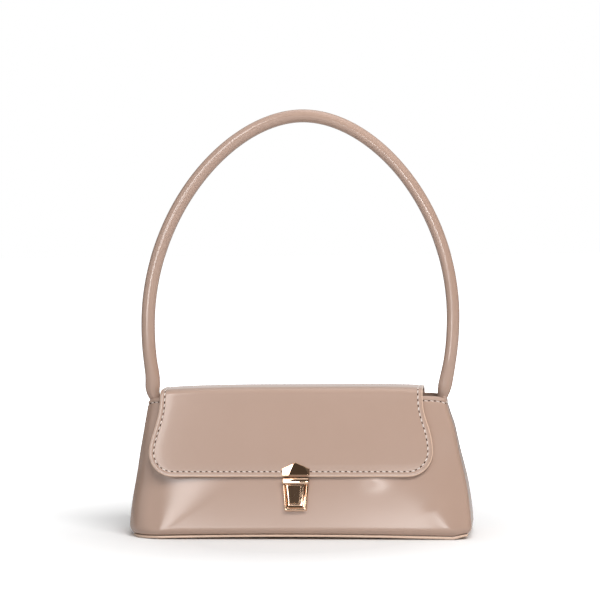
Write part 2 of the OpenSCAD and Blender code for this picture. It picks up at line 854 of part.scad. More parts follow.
module handle_cover()
    color("tan")
        difference() {
            union() {
                outer = whole_line(hinge_z - overrun);
                swept(outer, [for (p = outer) handle_radius(p[2])], [0, 1, 0], handle_sides);
                for (side = [-1, 1])
                    translate([side * foot_x - foot_roll_r, 0, hinge_z])
                        rotate([0, 90, 0])
                            cylinder(h = 2 * foot_roll_r, r = foot_roll_r);
            }
            inner = whole_line(hinge_z + taper_h / 2);
            swept(inner, [for (p = inner) handle_radius(p[2]) - cover_t], [0, 1, 0], handle_sides);
        }

module handle_core()
    color("ivory") {
        line = whole_line(hinge_z + taper_h / 2 + overrun);
        swept(line, [for (p = line) handle_radius(p[2]) - cover_t - 2 * board_gap], [0, 1, 0],
            handle_sides);
    }

// The seam of the rolled cover is sewn along its back
module handle_stitching()
    color("linen") {
        line = whole_line(hinge_z + taper_h);
        for (i = [0:len(line) - 2])
            let (a = line[i], b = line[i + 1], n = max(1, floor(norm(b - a) / stitch_pitch)))
            for (k = [0:n - 1])
                translate(a + (b - a) * (k + 0.5) / n + [0, handle_r, 0])
                    rotate([0, -atan2(b[2] - a[2], b[0] - a[0]), 0])
                        rotate([0, 0, 180])
                            stitch();
    }

base_panel();
base_welt();
base_board();
front_panel();
back_panel();
left_gusset();
right_gusset();
mouth_facing();
mouth_stitching();
front_lining();
back_lining();
left_lining();
right_lining();
base_lining();
slip_pocket();
left_handle_tab();
right_handle_tab();
flap_anchor();
anchor_stitching();
lock_plate();
lock_bar();
lock_housing();
lock_washer();
button_spring();
push_button();
button_latch();
flap_bridge();
bridge_lining();
bridge_stitching();
flap_front();
flap_stiffener();
flap_lining();
flap_stitching();
catch_plate();
catch_hook();
handle_cover();
handle_core();
handle_stitching();
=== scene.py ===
# %% [markdown]
# # A small leather handbag, modelled and lit in Blender
# The bag stands on a flat base and narrows towards its mouth. A flap comes over the mouth and
# closes with a metal press lock, and a rolled handle stands over it. This lesson makes each
# piece as a surface worked out with numpy, then gives it the finish of the real material. The
# sizes are in millimetres, and one function turns them to metres.

# %% Load the frame
import math

import bmesh
import bpy
import numpy as np
from mathutils import Matrix


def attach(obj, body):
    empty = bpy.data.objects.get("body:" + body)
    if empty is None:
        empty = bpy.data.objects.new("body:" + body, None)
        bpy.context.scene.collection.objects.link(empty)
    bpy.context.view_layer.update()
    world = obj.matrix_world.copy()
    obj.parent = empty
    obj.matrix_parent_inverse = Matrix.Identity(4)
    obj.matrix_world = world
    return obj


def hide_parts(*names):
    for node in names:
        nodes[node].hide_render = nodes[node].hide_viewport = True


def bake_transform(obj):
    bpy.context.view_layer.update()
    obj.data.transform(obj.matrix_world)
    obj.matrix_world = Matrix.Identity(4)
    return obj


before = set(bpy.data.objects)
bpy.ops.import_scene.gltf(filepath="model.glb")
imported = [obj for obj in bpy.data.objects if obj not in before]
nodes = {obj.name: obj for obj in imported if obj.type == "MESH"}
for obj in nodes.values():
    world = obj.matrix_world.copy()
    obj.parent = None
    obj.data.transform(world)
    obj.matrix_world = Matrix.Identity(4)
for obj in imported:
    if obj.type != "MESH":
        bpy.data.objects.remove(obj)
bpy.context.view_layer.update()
MM = 0.001

# %% [markdown]
# ## The camera
# A catalogue photo of a bag is taken with a long lens from about two metres, so that the
# sides don't converge. A camera could be aimed with a constraint. Here its axes are worked
# out from the angles that it looks along, because then its tilt can be written in too.

# %% Place the camera
yaw, elevation, roll = (math.radians(a) for a in (5.5, 3.2, -0.7))
target = np.array([0.0019, 0.0, 0.1932])
distance = 2.0
METRES_PER_PIXEL, PIXELS, SENSOR = 0.8235e-3, 600, 36
back = np.array([math.sin(yaw) * math.cos(elevation), -math.cos(yaw) * math.cos(elevation),
                 math.sin(elevation)])
level = np.cross(-back, (0, 0, 1))
level /= np.linalg.norm(level)
upright = np.cross(level, -back)
right = level * math.cos(roll) + upright * math.sin(roll)
up = upright * math.cos(roll) - level * math.sin(roll)


def placed(x, y, z, place):
    """The matrix whose axes are x, y and z, moved to a place."""
    matrix = np.eye(4)
    matrix[:3, 0], matrix[:3, 1], matrix[:3, 2], matrix[:3, 3] = x, y, z, place
    return Matrix(matrix.tolist())


camera = bpy.data.objects.new("camera", bpy.data.cameras.new("camera"))
camera.data.lens = distance / METRES_PER_PIXEL * SENSOR / PIXELS
camera.data.sensor_width = SENSOR
camera.data.clip_start, camera.data.clip_end = 0.05, 50
camera.matrix_world = placed(right, up, back, target + back * distance)
bpy.context.scene.collection.objects.link(camera)
bpy.context.scene.camera = camera
print("lens", round(camera.data.lens, 1), "mm")

# %% [markdown]
# ## Paths
# Seams, edges and the handle are all paths, which are rows of points. Blender's curves could
# hold them, but plain arrays can be measured, sampled and turned into surfaces at once.

# %% Measure and sample paths
def unit(v):
    """v divided by its length."""
    return v / np.linalg.norm(v, axis=-1, keepdims=True)


def lengths(path):
    """How far along a path each of its points is."""
    return np.r_[0, np.cumsum(np.linalg.norm(np.diff(path, axis=0), axis=1))]


def sample(path, s, t):
    """The points of a path at the distances t, where its own points are at the distances s."""
    return np.stack([np.interp(t, s, column) for column in path.T], -1)


def left_of(line):
    """Directions to the left of a path in a plane: its direction (a, b) turned to (-b, a)."""
    ahead = unit(np.gradient(line, axis=0))
    return np.stack([-ahead[:, 1], ahead[:, 0]], -1)


def smooth(low, high, value):
    """0 up to low and 1 from high, with 3t^2 - 2t^3 between them."""
    t = np.clip((value - low) / (high - low), 0, 1)
    return t * t * (3 - 2 * t)


def hump(value, middle, width):
    """A bell of height 1: exp(-((value - middle) / width)^2)."""
    return np.exp(-((value - middle) / width) ** 2)


# %% [markdown]
# ## From a grid of points to a piece
# Leather is cut from sheets, so most pieces here are a sheet with a thickness: an outer grid
# of points and an inner one, joined round the edge. Solidify could give the thickness, but
# two grids let the edge be rounded and the thickness change from place to place. Rods and
# rings are a loft, which is one outline after another along a path.

# %% Turn grids into quads
def slab(outer, inner, wrap=False):
    """Points and quads of the closed sheet between two n by m grids."""
    n, m = outer.shape[:2]
    i, j = np.arange(n if wrap else n - 1)[:, None], np.arange(m - 1)[None, :]
    a, b = i * m + j, (i + 1) % n * m + j
    quads = np.stack([a, b, b + 1, a + 1], -1).reshape(-1, 4)
    k = n * m
    number = np.arange(k).reshape(n, m)
    loops = [(number[:, 0], k + number[:, 0]), (k + number[:, -1], number[:, -1])]
    if wrap:
        loops = [(np.r_[a, a[:1]], np.r_[b, b[:1]]) for a, b in loops]
    else:
        loops += [(k + number[0], number[0]), (number[-1], k + number[-1])]
    rims = [np.stack([a[:-1], b[:-1], b[1:], a[1:]], -1) for a, b in loops]
    points = np.concatenate([outer.reshape(-1, 3), inner.reshape(-1, 3)])
    return points, np.concatenate([quads, k + quads[:, ::-1], *rims])


def loft(rings, closed=False):
    """Points and quads of a surface through k rings of n points. A ring that is one point
    closes an end, and closed joins the last ring to the first."""
    k, n = rings.shape[:2]
    i, j = np.arange(k if closed else k - 1)[:, None], np.arange(n)[None, :]
    a, b = i * n + j, (i + 1) % k * n + j
    c, d = i * n + (j + 1) % n, (i + 1) % k * n + (j + 1) % n
    return rings.reshape(-1, 3), np.stack([a, c, d, b], -1).reshape(-1, 4)


def capped(rings):
    """The rings between two more, each of which is the middle of the ring beside it."""
    first, last = (ring.mean(0) + 0 * ring for ring in (rings[0], rings[-1]))
    return np.array([first, *rings, last])


def volume(points, quads):
    """Signed volume inside the quads: a sixth of the sum of the triple products."""
    p = points[quads]
    return sum(np.einsum("ij,ij->i", np.cross(p[:, 0], p[:, a]), p[:, b]).sum()
               for a, b in ((1, 2), (2, 3))) / 6


# %% Make a piece
EDGE_BAND = 1.15


def add_piece(name, shape, body, replaces=(), sharp=42, edge=None):
    """Makes an object of points in millimetres and quads, facing outwards, and lets it ride.
    Faces nearer to the edge than EDGE_BAND, by the distance of each point, get the second
    material."""
    points, quads = shape
    if volume(points, quads) < 0:
        quads = quads[:, ::-1]
    mesh = bpy.data.meshes.new(name)
    mesh.from_pydata((points * MM).tolist(), [], quads.tolist())
    if edge is not None:
        painted = (edge[quads].max(1) < EDGE_BAND).astype(np.int32)
        mesh.polygons.foreach_set("material_index", painted)
    bm = bmesh.new()
    bm.from_mesh(mesh)
    bmesh.ops.remove_doubles(bm, verts=bm.verts, dist=2e-6)
    bmesh.ops.dissolve_degenerate(bm, edges=bm.edges, dist=1e-7)
    bm.to_mesh(mesh)
    bm.free()
    mesh.shade_smooth()
    mesh.set_sharp_from_angle(angle=math.radians(sharp))
    made = bpy.data.objects.new(name, mesh)
    bpy.context.scene.collection.objects.link(made)
    if body:
        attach(made, body)
    if replaces:
        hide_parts(*replaces)
    print(name, len(mesh.polygons), "faces")
    return made


# %% [markdown]
# ## The shape of the body
# Seen from above, the bag is a rectangle with round corners. The corners differ, because the
# leather has settled: the front left one is full, and the front right one is a crisp fold.
# Going up, the rectangle gets smaller, quickly at first in depth and later in width. All the
# panels, linings and boards are cut from this one shape, so they fit each other.

# %% Work out the body
MOUTH_Z, PANEL_Z = 115.0, 3.0
MOUTH_HALF_W, SPREAD_W = 123.5, 17.5
MOUTH_HALF_D, SPREAD_D = 17, 23


def half_width(z):
    """Half the width at height z: 123.5 + 17.5 (1 - (z / 115)^1.6)."""
    return MOUTH_HALF_W + SPREAD_W * (1 - (np.clip(z, 0, 130) / MOUTH_Z) ** 1.6)


def half_depth(z):
    """Half the depth at height z: 17 + 23 (1 - (z / 115)^1.3)."""
    return MOUTH_HALF_D + SPREAD_D * (1 - (np.clip(z, 0, 130) / MOUTH_Z) ** 1.3)


def lean(z):
    """Backward lean of the front at height z, the slope of half_depth."""
    return np.arctan(SPREAD_D * 1.3 * (np.clip(z, 0, 130) / MOUTH_Z) ** 0.3 / MOUTH_Z)


def rolled(z):
    """How far the foot of a panel rolls in: 3 (1 - h / 6)^2 at h above the panel's edge."""
    return 3 * np.clip(1 - (z - PANEL_Z) / 6, 0, 1) ** 2


# Corners: front left, front right, back right, back left, with their radius low and high
CORNER_X = np.array([-1, 1, 1, -1.0])
CORNER_Y = np.array([-1, -1, 1, 1.0])
RADIUS_LOW = np.array([20, 4.0, 15, 16.0])
RADIUS_HIGH = np.array([15.5, 4.5, 13, 14.0])


def plan(places, z, off, roll_in=True):
    """Point of the outline at height z, off millimetres inside the outer skin. On a corner it
    is centre + (radius - off) (cos, sin), and between corners it is a share of the two."""
    a, b = places[:, 0].astype(int)[:, None], places[:, 1].astype(int)[:, None]
    share, angle = places[:, 2][:, None], np.radians(places[:, 3])[:, None]
    inward = off + (rolled(z) if roll_in else 0)

    def at(corner):
        r = RADIUS_LOW[corner] + (RADIUS_HIGH[corner] - RADIUS_LOW[corner]) * z / MOUTH_Z
        q = np.maximum(r - inward, 0.3)
        return (CORNER_X[corner] * (half_width(z) - r) + q * np.cos(angle),
                CORNER_Y[corner] * (half_depth(z) - r) + q * np.sin(angle))

    (xa, ya), (xb, yb) = at(a), at(b)
    x, y = xa + share * (xb - xa), ya + share * (yb - ya)
    return np.stack([x, y, z + 0 * x], -1)


print("base", 2 * half_width(0), "by", 2 * half_depth(0), "mm, mouth",
      2 * half_width(MOUTH_Z), "by", 2 * half_depth(MOUTH_Z), "mm")


# %% Share the outline between the panels
def arc(corner, a0, a1, n):
    """Places round one corner, from one direction to another, in degrees."""
    a = np.linspace(a0, a1, n)
    return np.stack([np.full(n, corner), np.full(n, corner), np.zeros(n), a], -1)


def straight(a, b, angle, t):
    """Places between two corners, at the shares t."""
    n = len(t)
    return np.stack([np.full(n, a), np.full(n, b), t, np.full(n, angle)], -1)


def side_places(a, b, angles, counts):
    """The places of one panel, from its seam round corner a, across, and round corner b to
    its other seam. Four close steps lie at each seam, where the edge is rounded."""
    start, near_start, facing, near_end, end = angles
    n_a, n_across, n_b = counts
    return np.concatenate([arc(a, start, near_start, 5)[:-1], arc(a, near_start, facing, n_a),
                           straight(a, b, facing, np.linspace(0, 1, n_across + 2)[1:-1]),
                           arc(b, facing, near_end, n_b), arc(b, near_end, end, 5)[1:]])


front_places = side_places(0, 1, (210, 210.6, 270, 328, 330), (22, 128, 14))
right_places = side_places(1, 2, (-30, -28, 0, 29.2, 30), (9, 26, 11))
back_places = side_places(2, 3, (30, 30.8, 90, 149.3, 150), (20, 120, 20))
left_places = side_places(3, 0, (150, 150.7, 180, 209.4, 210), (10, 24, 11))
all_places = np.concatenate([front_places, right_places, back_places, left_places])


def rim(places):
    """Height of the mouth edge: 115 less a high power of u, the share of the half width. The
    left end hangs lower, and the gusset stands up as an ear beside the right front corner."""
    p = plan(places, np.full((len(places), 1), MOUTH_Z), 0)
    u, y = p[:, :, 0] / MOUTH_HALF_W, p[:, :, 1]
    drop = np.where(u < 0, 1.3 * np.abs(u) ** 6 + 2.6 * np.abs(u) ** 40, 3.0 * np.abs(u) ** 28)
    return MOUTH_Z - drop + 2.6 * smooth(0.994, 0.999, u) * hump(y, -13, 3)


print("places round the bag", len(all_places))


# %% [markdown]
# ## How the leather has settled
# A new bag would be perfectly even. This one has stood and been handled, so its front turns
# away towards both lower corners, the base arches a little between its ends, and one corner
# is lifted. Sculpting could do this, but written as sums of a few smooth bumps, every sheet
# and seam moves by the same amount, and none of them separate.

# %% Bend the shape as wear does
def fold(x, z, start, end, low_w, high_w, height):
    """A ridge along a line: height exp(-(distance / width)^2), faded in and out at its ends,
    and widening from low_w to high_w."""
    ex, ez = end[0] - start[0], end[1] - start[1]
    length = math.hypot(ex, ez)
    along = ((x - start[0]) * ex + (z - start[1]) * ez) / length**2
    across = ((x - start[0]) * ez - (z - start[1]) * ex) / length
    width = low_w + (high_w - low_w) * np.clip(along, 0, 1)
    ends = smooth(-0.1, 0.25, along) * (1 - smooth(0.8, 1.2, along))
    return height * ends * hump(across, 0, width)


def turned(u, h, end, slope, power):
    """How far a cone with its point in a lower corner turns away. u is inward and h up from
    the point. From the ray at the angle end to the upright ray, the slope across the rays
    grows to slope as (1 - angle / end)^power. Past that it fades as exp(angle / 0.55). The
    fall is its integral times the distance, which levels off as 70 (1 - exp(-r / 70))."""
    angle, along = np.arctan2(u, np.maximum(h, 1.5)), 70 * (1 - np.exp(-np.hypot(u, h) / 70))
    share = np.clip(1 - angle / end, 0, 1)
    fall = slope * end / (power + 1) * share ** (power + 1)
    fall = fall + 0.55 * slope * (1 - np.exp(np.minimum(angle, 0) / 0.55))
    return fall * along


def front_relief(x, z):
    """How far the front stands out over its plain shape. Its two sides turn away as cones
    from the lower corners, a quarter as much above z = 92 as below 40. A bump 1.1 high lies
    under the flap on the right, and a fold 0.6 high at the lower right."""
    high = 1 - 0.75 * smooth(40, 92, z)
    out = -turned(x + 114.5, z - 2.5, math.radians(58), 0.38, 0.6) * high
    out -= turned(129 - x, z - 2, math.radians(52), 0.24, 1.0) * high
    out += 1.1 * np.exp(-((x - 63) / 11) ** 2 - ((z - 51) / 8) ** 2)
    return out + fold(x, z, (112, 31), (125, 7), 10, 10, 0.6)


def back_relief(x, z):
    """The same for the back, which is fuller by 1.2 and has two faint folds."""
    out = fold(x, z, (128, 3), (62, 70), 7, 20, 1.4) + fold(x, z, (-128, 3), (-70, 60), 7, 20, 1.1)
    return out + 1.2 * np.exp(-(x / 80) ** 2 - ((z - 42) / 26) ** 2)


def settle(p):
    """Moves points of the plain bag to where wear has left them."""
    x, y, z = p[..., 0], p[..., 1], p[..., 2]
    w, d = half_width(z), half_depth(z)
    # The front and back draw in by up to 1.2 at their ends, and get their relief
    y = y * (1 - 1.2 * np.minimum(np.abs(x) / w, 1) ** 8 / d)
    y = y - smooth(0, 0.7, -y / d) * front_relief(x, z)
    y = y + smooth(0, 0.7, y / d) * back_relief(x, z)
    # The gussets sink in by 1.3, and the right one stands 1.6 out low and 2.4 in at the top
    dent = 1.3 * smooth(15, 60, z) * (1 - smooth(80, 112, z)) * np.clip(1 - (y / d) ** 2, 0, 1)
    x = x - np.sign(x) * smooth(0.85, 1, np.abs(x) / w) * dent
    edge = smooth(0.5, 1, x / w)
    x = x + edge * (1.6 * (1 - smooth(40, 75, z)) - 2.4 * smooth(85, 108, z))
    # The base arches by 2.3 and its front right corner lifts by 2.6, fading out at z = 32
    lift = 2.3 * (1 - np.minimum(np.abs(x) / 137, 1) ** 2)
    lift = lift + 2.6 * smooth(126, 139, x) * smooth(2, 24, -y)
    z = z + lift * np.clip(1 - z / 32, 0, 1) ** 2
    return np.stack([x, y, z], -1)


def sheet(places, z, outside, inside, wrap=False):
    """The settled sheet between two distances inside the outer skin."""
    return slab(settle(plan(places, z, outside)), settle(plan(places, z, inside)), wrap)


def edge_round(radius, distance):
    """How far a surface falls away at a distance from its edge, a quarter of a circle."""
    left = np.clip(radius - distance, 0, radius)
    return radius - np.sqrt(radius**2 - left**2)


print("left corner turned away by", round(float(-front_relief(-126, 38)), 1), "mm")


# %% [markdown]
# ## The leather panels
# The shell is a front, a back and two gussets, each 1.6 mm thick. The foot of each panel is
# rolled in over the base, and its top edge is turned and stitched 3.8 mm down, where the
# leather is drawn in a little. The seams between the panels are narrow grooves.

# %% Cut the panels
STITCH_DOWN = 3.8


def wall_heights(places, low):
    """Rows from the foot to the mouth edge, close together where the edge is rounded."""
    foot = np.array([0, .04, .14, .3, .5, .8, 1.2, 1.7, 2.3, 3, 3.8, 4.7, 5.7, 7, 8.5, 10.2])
    down = np.array([10, 8.6, 7.4, 6.4, 5.6, 5, 4.6, 4.3, 4.05, 3.8, 3.55, 3.3, 3, 2.6, 2.2, 1.75,
                     1.3, .9, .6, .35, .18, .07, .02, 0])
    top = rim(places)
    share = np.linspace(0, 1, 50)[1:-1]
    middle = (low + 12) + share * (top - 10 - low - 12)
    return np.concatenate([low + foot + 0 * top, middle, top - down], 1), top


def seam_distance(places, z):
    """Distance of each point from the nearer end of its panel, along the skin."""
    p = plan(places, z, 0)
    steps = np.linalg.norm(np.diff(p, axis=0), axis=2)
    s = np.concatenate([np.zeros((1, z.shape[1])), np.cumsum(steps, 0)])
    return np.minimum(s, s[-1] - s)


def panel(places):
    """A leather panel 1.6 thick. Its edges are rounded with radius 0.8 at the mouth and the
    foot and 0.4 at the seams. It dips 0.34 at the stitches and is 0.45 fuller over them."""
    z, top = wall_heights(places, PANEL_Z)
    down = top - z
    edge = edge_round(0.8, np.minimum(down, z - PANEL_Z))
    seam = edge_round(0.4, seam_distance(places, z))
    sewn = 0.34 * hump(down, STITCH_DOWN, 0.6)
    puffed = 0.45 * hump(down, 1.9, 1.1) * smooth(0.2, 1, down)
    return sheet(places, z, np.maximum(edge, seam) + sewn - puffed, 1.6 - edge)


leather_pieces = [add_piece(name, panel(places), "body", [replaced])
                  for name, places, replaced in (
                      ("front_leather", front_places, "front_panel"),
                      ("back_leather", back_places, "back_panel"),
                      ("right_gusset_leather", right_places, "right_gusset"),
                      ("left_gusset_leather", left_places, "left_gusset"))]

# %% [markdown]
# ## The base
# Under the shell lies a stiff base. Its pale cut edge shows as a thin line below the front,
# with the welt cord over it, coloured dark as painted shade of the groove there. Each of these
# is a ring or a plate with the plan of the bag, so they are lofts of the same outline at several
# insets.

# %% Make the base
def outline(z, inset):
    """The bag's plan at one height, drawn in by inset, as a ring of points."""
    return plan(all_places, np.full((len(all_places), 1), z), inset, roll_in=False)[:, 0]


def plate(inset, z0, z1, radius):
    """A plate with the bag's plan, drawn in by inset, from z0 to z1, with a rounded edge. Its
    rings run from the middle below, round the edge, to the middle above."""
    middle, half_height = (z0 + z1) / 2, (z1 - z0) / 2
    turn = [(inset + radius * (1 - math.cos(a)), middle + half_height * math.sin(a), 1.0)
            for a in np.radians(np.linspace(-90, 90, 9))]
    scales = [0, 0.2, 0.4, 0.6, 0.8, 0.92]
    levels = ([(inset + radius, z0, k) for k in scales] + turn
              + [(inset + radius, z1, k) for k in scales[::-1]])
    return loft(settle(np.array([outline(z, off) * [k, k, 1] for off, z, k in levels])))


def welt_ring(inset, width, z0, z1):
    """A cord round the base: an oval section carried round the outline."""
    rings = [outline((z0 + z1) / 2 + (z1 - z0) / 2 * math.sin(a),
                     inset + width / 2 - width / 2 * math.cos(a))
             for a in np.radians(np.linspace(0, 360, 13)[:-1])]
    return loft(settle(np.array(rings)), closed=True)


base_edge = add_piece("base_leather", plate(3.2, 0, 2.3, 0.85), "body", ["base_panel"])
base_welt = add_piece("base_welt_cord", welt_ring(4.6, 2.4, 2.1, 3.1), "body", ["base_welt"])
board = add_piece("base_board_sheet", plate(6.8, 2.35, 3.3, 0.3), "body", ["base_board"])

# %% [markdown]
# ## Lining and facing
# Inside, a leather facing runs round the mouth, and cloth lines the rest. A slip pocket hangs
# on the back. They follow the panels a fixed distance further in.

# %% Line the bag
LINING_LOW, LINING_DOWN, LINING_IN = 4.1, 22.1, 2.15


def lining_wall(places):
    """A cloth wall 0.5 thick, from LINING_LOW up to LINING_DOWN below the mouth edge."""
    top = rim(places) - LINING_DOWN
    z = LINING_LOW + np.linspace(0, 1, 30) * (top - LINING_LOW)
    inward = LINING_IN + 0.25 * np.sin(places[:, 2][:, None] * 31 + z / 9)
    return sheet(places, z, inward, inward + 0.5)


cloth_pieces = [add_piece(side + "_lining_cloth", lining_wall(places[::2]), "body",
                          [side + "_lining"])
                for side, places in (("front", front_places), ("back", back_places),
                                     ("left", left_places), ("right", right_places))]
cloth_pieces.append(add_piece("base_lining_cloth", plate(6.8, 3.35, 3.9, 0.25), "body",
                              ["base_lining"]))


def facing():
    """The band inside the mouth, 22 high and 0.65 thick, with a rounded top edge."""
    down = np.array([22, 21.7, 18, 14, 10, 7, 5, 3, 1.5, 0.8, 0.4, 0.2, 0.07, 0])
    z = rim(all_places) - down
    edge = edge_round(0.3, down) + 0 * z
    return sheet(all_places, z, 1.65 + edge, 2.3 - edge, wrap=True)


leather_pieces.append(add_piece("mouth_facing_band", facing(), "body", ["mouth_facing"]))


def pocket():
    """A cloth strip 120 wide on the back lining, from z = 32 to 86. It is 0.5 thick, with a
    hem of 0.35 more, and gapes by up to 1.6 at its open top."""
    x = np.linspace(60, -60, 41)[:, None] * np.ones((1, 24))
    z = np.linspace(32, 86, 24)[None, :] + 0 * x
    gape = 1.6 * smooth(50, 86, z) * (1 - (x / 60) ** 2)
    hem = 0.35 * smooth(80.5, 81, z)
    y = half_depth(z) - 2.95 - gape
    return slab(settle(np.stack([x, y, z], -1)), settle(np.stack([x, y - 0.5 - hem, z], -1)))


cloth_pieces.append(add_piece("slip_pocket_cloth", pocket(), "body", ["slip_pocket"]))

# %% [markdown]
# ## Stitches
# A machine stitch lies a little askew between two needle holes, and its ends dive into them.
# An image of stitches would look painted on. Each stitch here is a short thread of its own,
# worked out for a whole row at once, and the holes are small pits, coloured near black as
# painted shade.

# %% Sew a row
PITCH = 4.75
thread_pieces, hole_pieces = [], []


def copies(quads, points, count):
    """The quads of count shapes with so many points each, one shape after another."""
    return (quads[None] + points * np.arange(count)[:, None, None]).reshape(-1, 4)


def sew(path, normal, keep=None, size=1.0):
    """Threads and needle holes along a path on the leather. A thread is 0.6 of the pitch
    long and its ends lie 0.22 to either side. Its centre is at height 0.34 (1 - u^4) - 0.12
    and its radius is 0.42 (1 - u^6)^(1/2), and 3/4 of that in height, for u from -1 to 1
    along it. A hole is a pit of radius 0.86 with a low rim."""
    s = lengths(path)
    count = int(s[-1] // PITCH)
    first = (s[-1] - count * PITCH) / 2

    def axes(t):
        ahead = unit(sample(path, s, t + 0.2) - sample(path, s, t - 0.2))
        out = unit(sample(normal, s, t))
        return sample(path, s, t), out, ahead, np.cross(ahead, out)

    number = np.arange(count)
    if keep is not None:
        number = number[keep(sample(path, s, first + PITCH * (number + 0.5)))]
    u = np.linspace(-1, 1, 9)
    middle, out, ahead, side = axes(first + PITCH * (number[:, None] + 0.5 + 0.3 * u))
    lift = ((0.34 * (1 - u**4) - 0.12) * size)[None, :, None, None]
    radius = (0.42 * size * np.sqrt(np.clip(1 - u**6, 0, 1)))[None, :, None, None]
    a = np.radians(np.arange(0, 360, 60))[None, None, :, None]
    rings = (middle[:, :, None] + out[:, :, None] * (lift + 0.75 * radius * np.sin(a))
             + unit(side)[:, :, None] * (0.22 * u[None, :, None, None] + radius * np.cos(a)))
    points, quads = loft(rings[0])
    threads = rings.reshape(-1, 3), copies(quads, len(points), len(number))

    holes = np.unique(np.r_[number, number + 1])
    middle, out, ahead, side = axes(np.clip(first + PITCH * holes, 0.3, s[-1] - 0.3))
    a = np.radians(np.arange(0, 360, 45))[None, :, None]
    level = [(0, 0.05), (0.55, 0.12), (0.86, 0.1), (0.86, -0.2), (0, -0.5)]
    rings = np.stack([middle[:, None] + out[:, None] * h * size
                      + r * size * (ahead[:, None] * np.cos(a) + side[:, None] * np.sin(a))
                      for r, h in level], 1)
    points, quads = loft(rings[0])
    return threads, (rings.reshape(-1, 3), copies(quads, len(points), len(holes)))


def add_row(name, path, normal, body, replaced, **how):
    """Sews a row. Gives its threads and its needle holes as two pieces."""
    threads, holes = sew(path, normal, **how)
    thread_pieces.append(add_piece(name + "_thread", threads, body, replaced))
    hole_pieces.append(add_piece(name + "_needle_holes", holes, body))
    return thread_pieces[-1], hole_pieces[-1]


mouth_z = rim(all_places) - STITCH_DOWN
mouth_row = settle(plan(all_places, mouth_z, 0.24))[:, 0]
mouth_out = settle(plan(all_places, mouth_z, -0.8))[:, 0] - mouth_row
add_row("mouth", np.concatenate([mouth_row, mouth_row[:1]]),
        np.concatenate([mouth_out, mouth_out[:1]]), "body", ["mouth_stitching"], size=0.8)

# %% [markdown]
# ## The flap
# The flap is one sheet of leather. It is sewn on behind, comes over the mouth, turns down
# with a soft bend, and ends in two round corners. Its edge is turned and stitched. The sheet
# is worked out along its own length and width, so that the distance to the edge is known at
# each point: the edge is rounded, a dip runs under the stitches, and the middle is padded.
# It bends at two places when the bag opens, and a piece can only follow one joint, so it is
# cut where it doesn't show, on the level part behind the crest.

# %% Work out the flap's section
def outside(z, gap, side):
    """The line that lies gap outside the plain front (side -1) or back (side 1)."""
    return np.stack([side * (half_depth(z) + gap * np.cos(lean(z))), z + gap * np.sin(lean(z))],
                    -1)


def flap_section():
    """The outer line of the flap from its lower edge up the front, over the mouth and down
    the back. The front follows the panel 3.5 outside it, the top is a superellipse 40.5 wide
    and 5.4 high of power 3.2, and the back follows the panel 2.3 outside it. Points every
    0.25 are then smoothed with a bell 1.5 wide."""
    t = np.radians(np.linspace(7, 173, 180))
    c, s = np.cos(t), np.sin(t)
    top = np.stack([-np.sign(c) * 20.27 * np.abs(c) ** (2 / 3.2),
                    116.17 + 5.4 * s ** (2 / 3.2)], -1)
    line = np.concatenate([outside(np.linspace(50.6, 112.6, 240), 3.5, -1), top,
                           outside(np.linspace(113.6, 99.9, 60), 2.3, 1)])
    s = lengths(line)
    line = sample(line, s, np.arange(0, s[-1], 0.25))
    weight = hump(np.arange(-16, 17), 0, 6.0)
    weight /= weight.sum()
    padded = np.concatenate([2 * line[:1] - line[16:0:-1], line,
                             2 * line[-1:] - line[-2:-18:-1]])
    line = np.stack([np.convolve(column, weight, "valid") for column in padded.T], -1)
    return lengths(line), line, left_of(line)


section_s, section_line, section_out = flap_section()
crest_s, front_fold_s, cut_s = (float(np.interp(y, section_line[:, 0], section_s)) - back_off
                                for y, back_off in ((0, 0), (-17.5, 6), (9.0, 0)))
end_s = section_s[-1]
print("flap length", round(end_s, 1), "crest at", round(crest_s, 1), "cut at", round(cut_s, 1))

# %% Work out the flap's outline
TOP_HALF, LOW_HALF, CORNER_R, SEWN_IN = 109, 116.4, 20.6, 4.2


def flap_half(s, inset=0.0):
    """Half width of the flap at s along it, drawn in by inset. It is 109 over the mouth and
    flares to 116.4 at the corners as a smooth step, and each corner is a quarter circle."""
    t = np.clip((front_fold_s - s) / (front_fold_s - CORNER_R), 0, 1) ** 1.25
    radius = CORNER_R - inset
    low = np.clip(CORNER_R - s, 0, radius)
    return (TOP_HALF + (LOW_HALF - TOP_HALF) * t * t * (3 - 2 * t) - CORNER_R
            + np.sqrt(radius**2 - low**2))


def flap_edge(x, s):
    """Distance of a point of the flap from its edge."""
    side = (flap_half(s) - np.abs(x)) * 0.985
    dx, ds = np.abs(x) - (LOW_HALF - CORNER_R), CORNER_R - s
    corner = CORNER_R - np.hypot(dx, ds)
    return np.maximum(np.where((dx > 0) & (ds > 0), corner, np.minimum(side, s)), 0)


def flap_at(x, s, off):
    """Point of the flap at x across and s along, off below its outer surface. It lies 4.0 to
    the left over the mouth and 5.2 below. The crest stands 1.5 up, and drops by 2.2 at its
    left end and 1.2 at its right. The flap is stiff, so it undoes 0.96 of the relief that
    settle gives the front below it."""
    on_line, out = (sample(row, section_s, s) for row in (section_line, section_out))
    y, z, ny, nz = on_line[..., 0], on_line[..., 1], out[..., 0], out[..., 1]
    u = x / TOP_HALF
    drop = np.where(u < 0, 2.2 * np.abs(u) ** 3, 1.2 * np.abs(u) ** 6) - 1.5
    px, py = x - 4.0 - 1.2 * (1 - smooth(55, 105, z)), y - off * ny
    py = py + 0.96 * smooth(0, 0.7, -py / half_depth(z)) * front_relief(px, z)
    return settle(np.stack([px, py, z - off * nz - drop * smooth(106, 119, z)], -1))


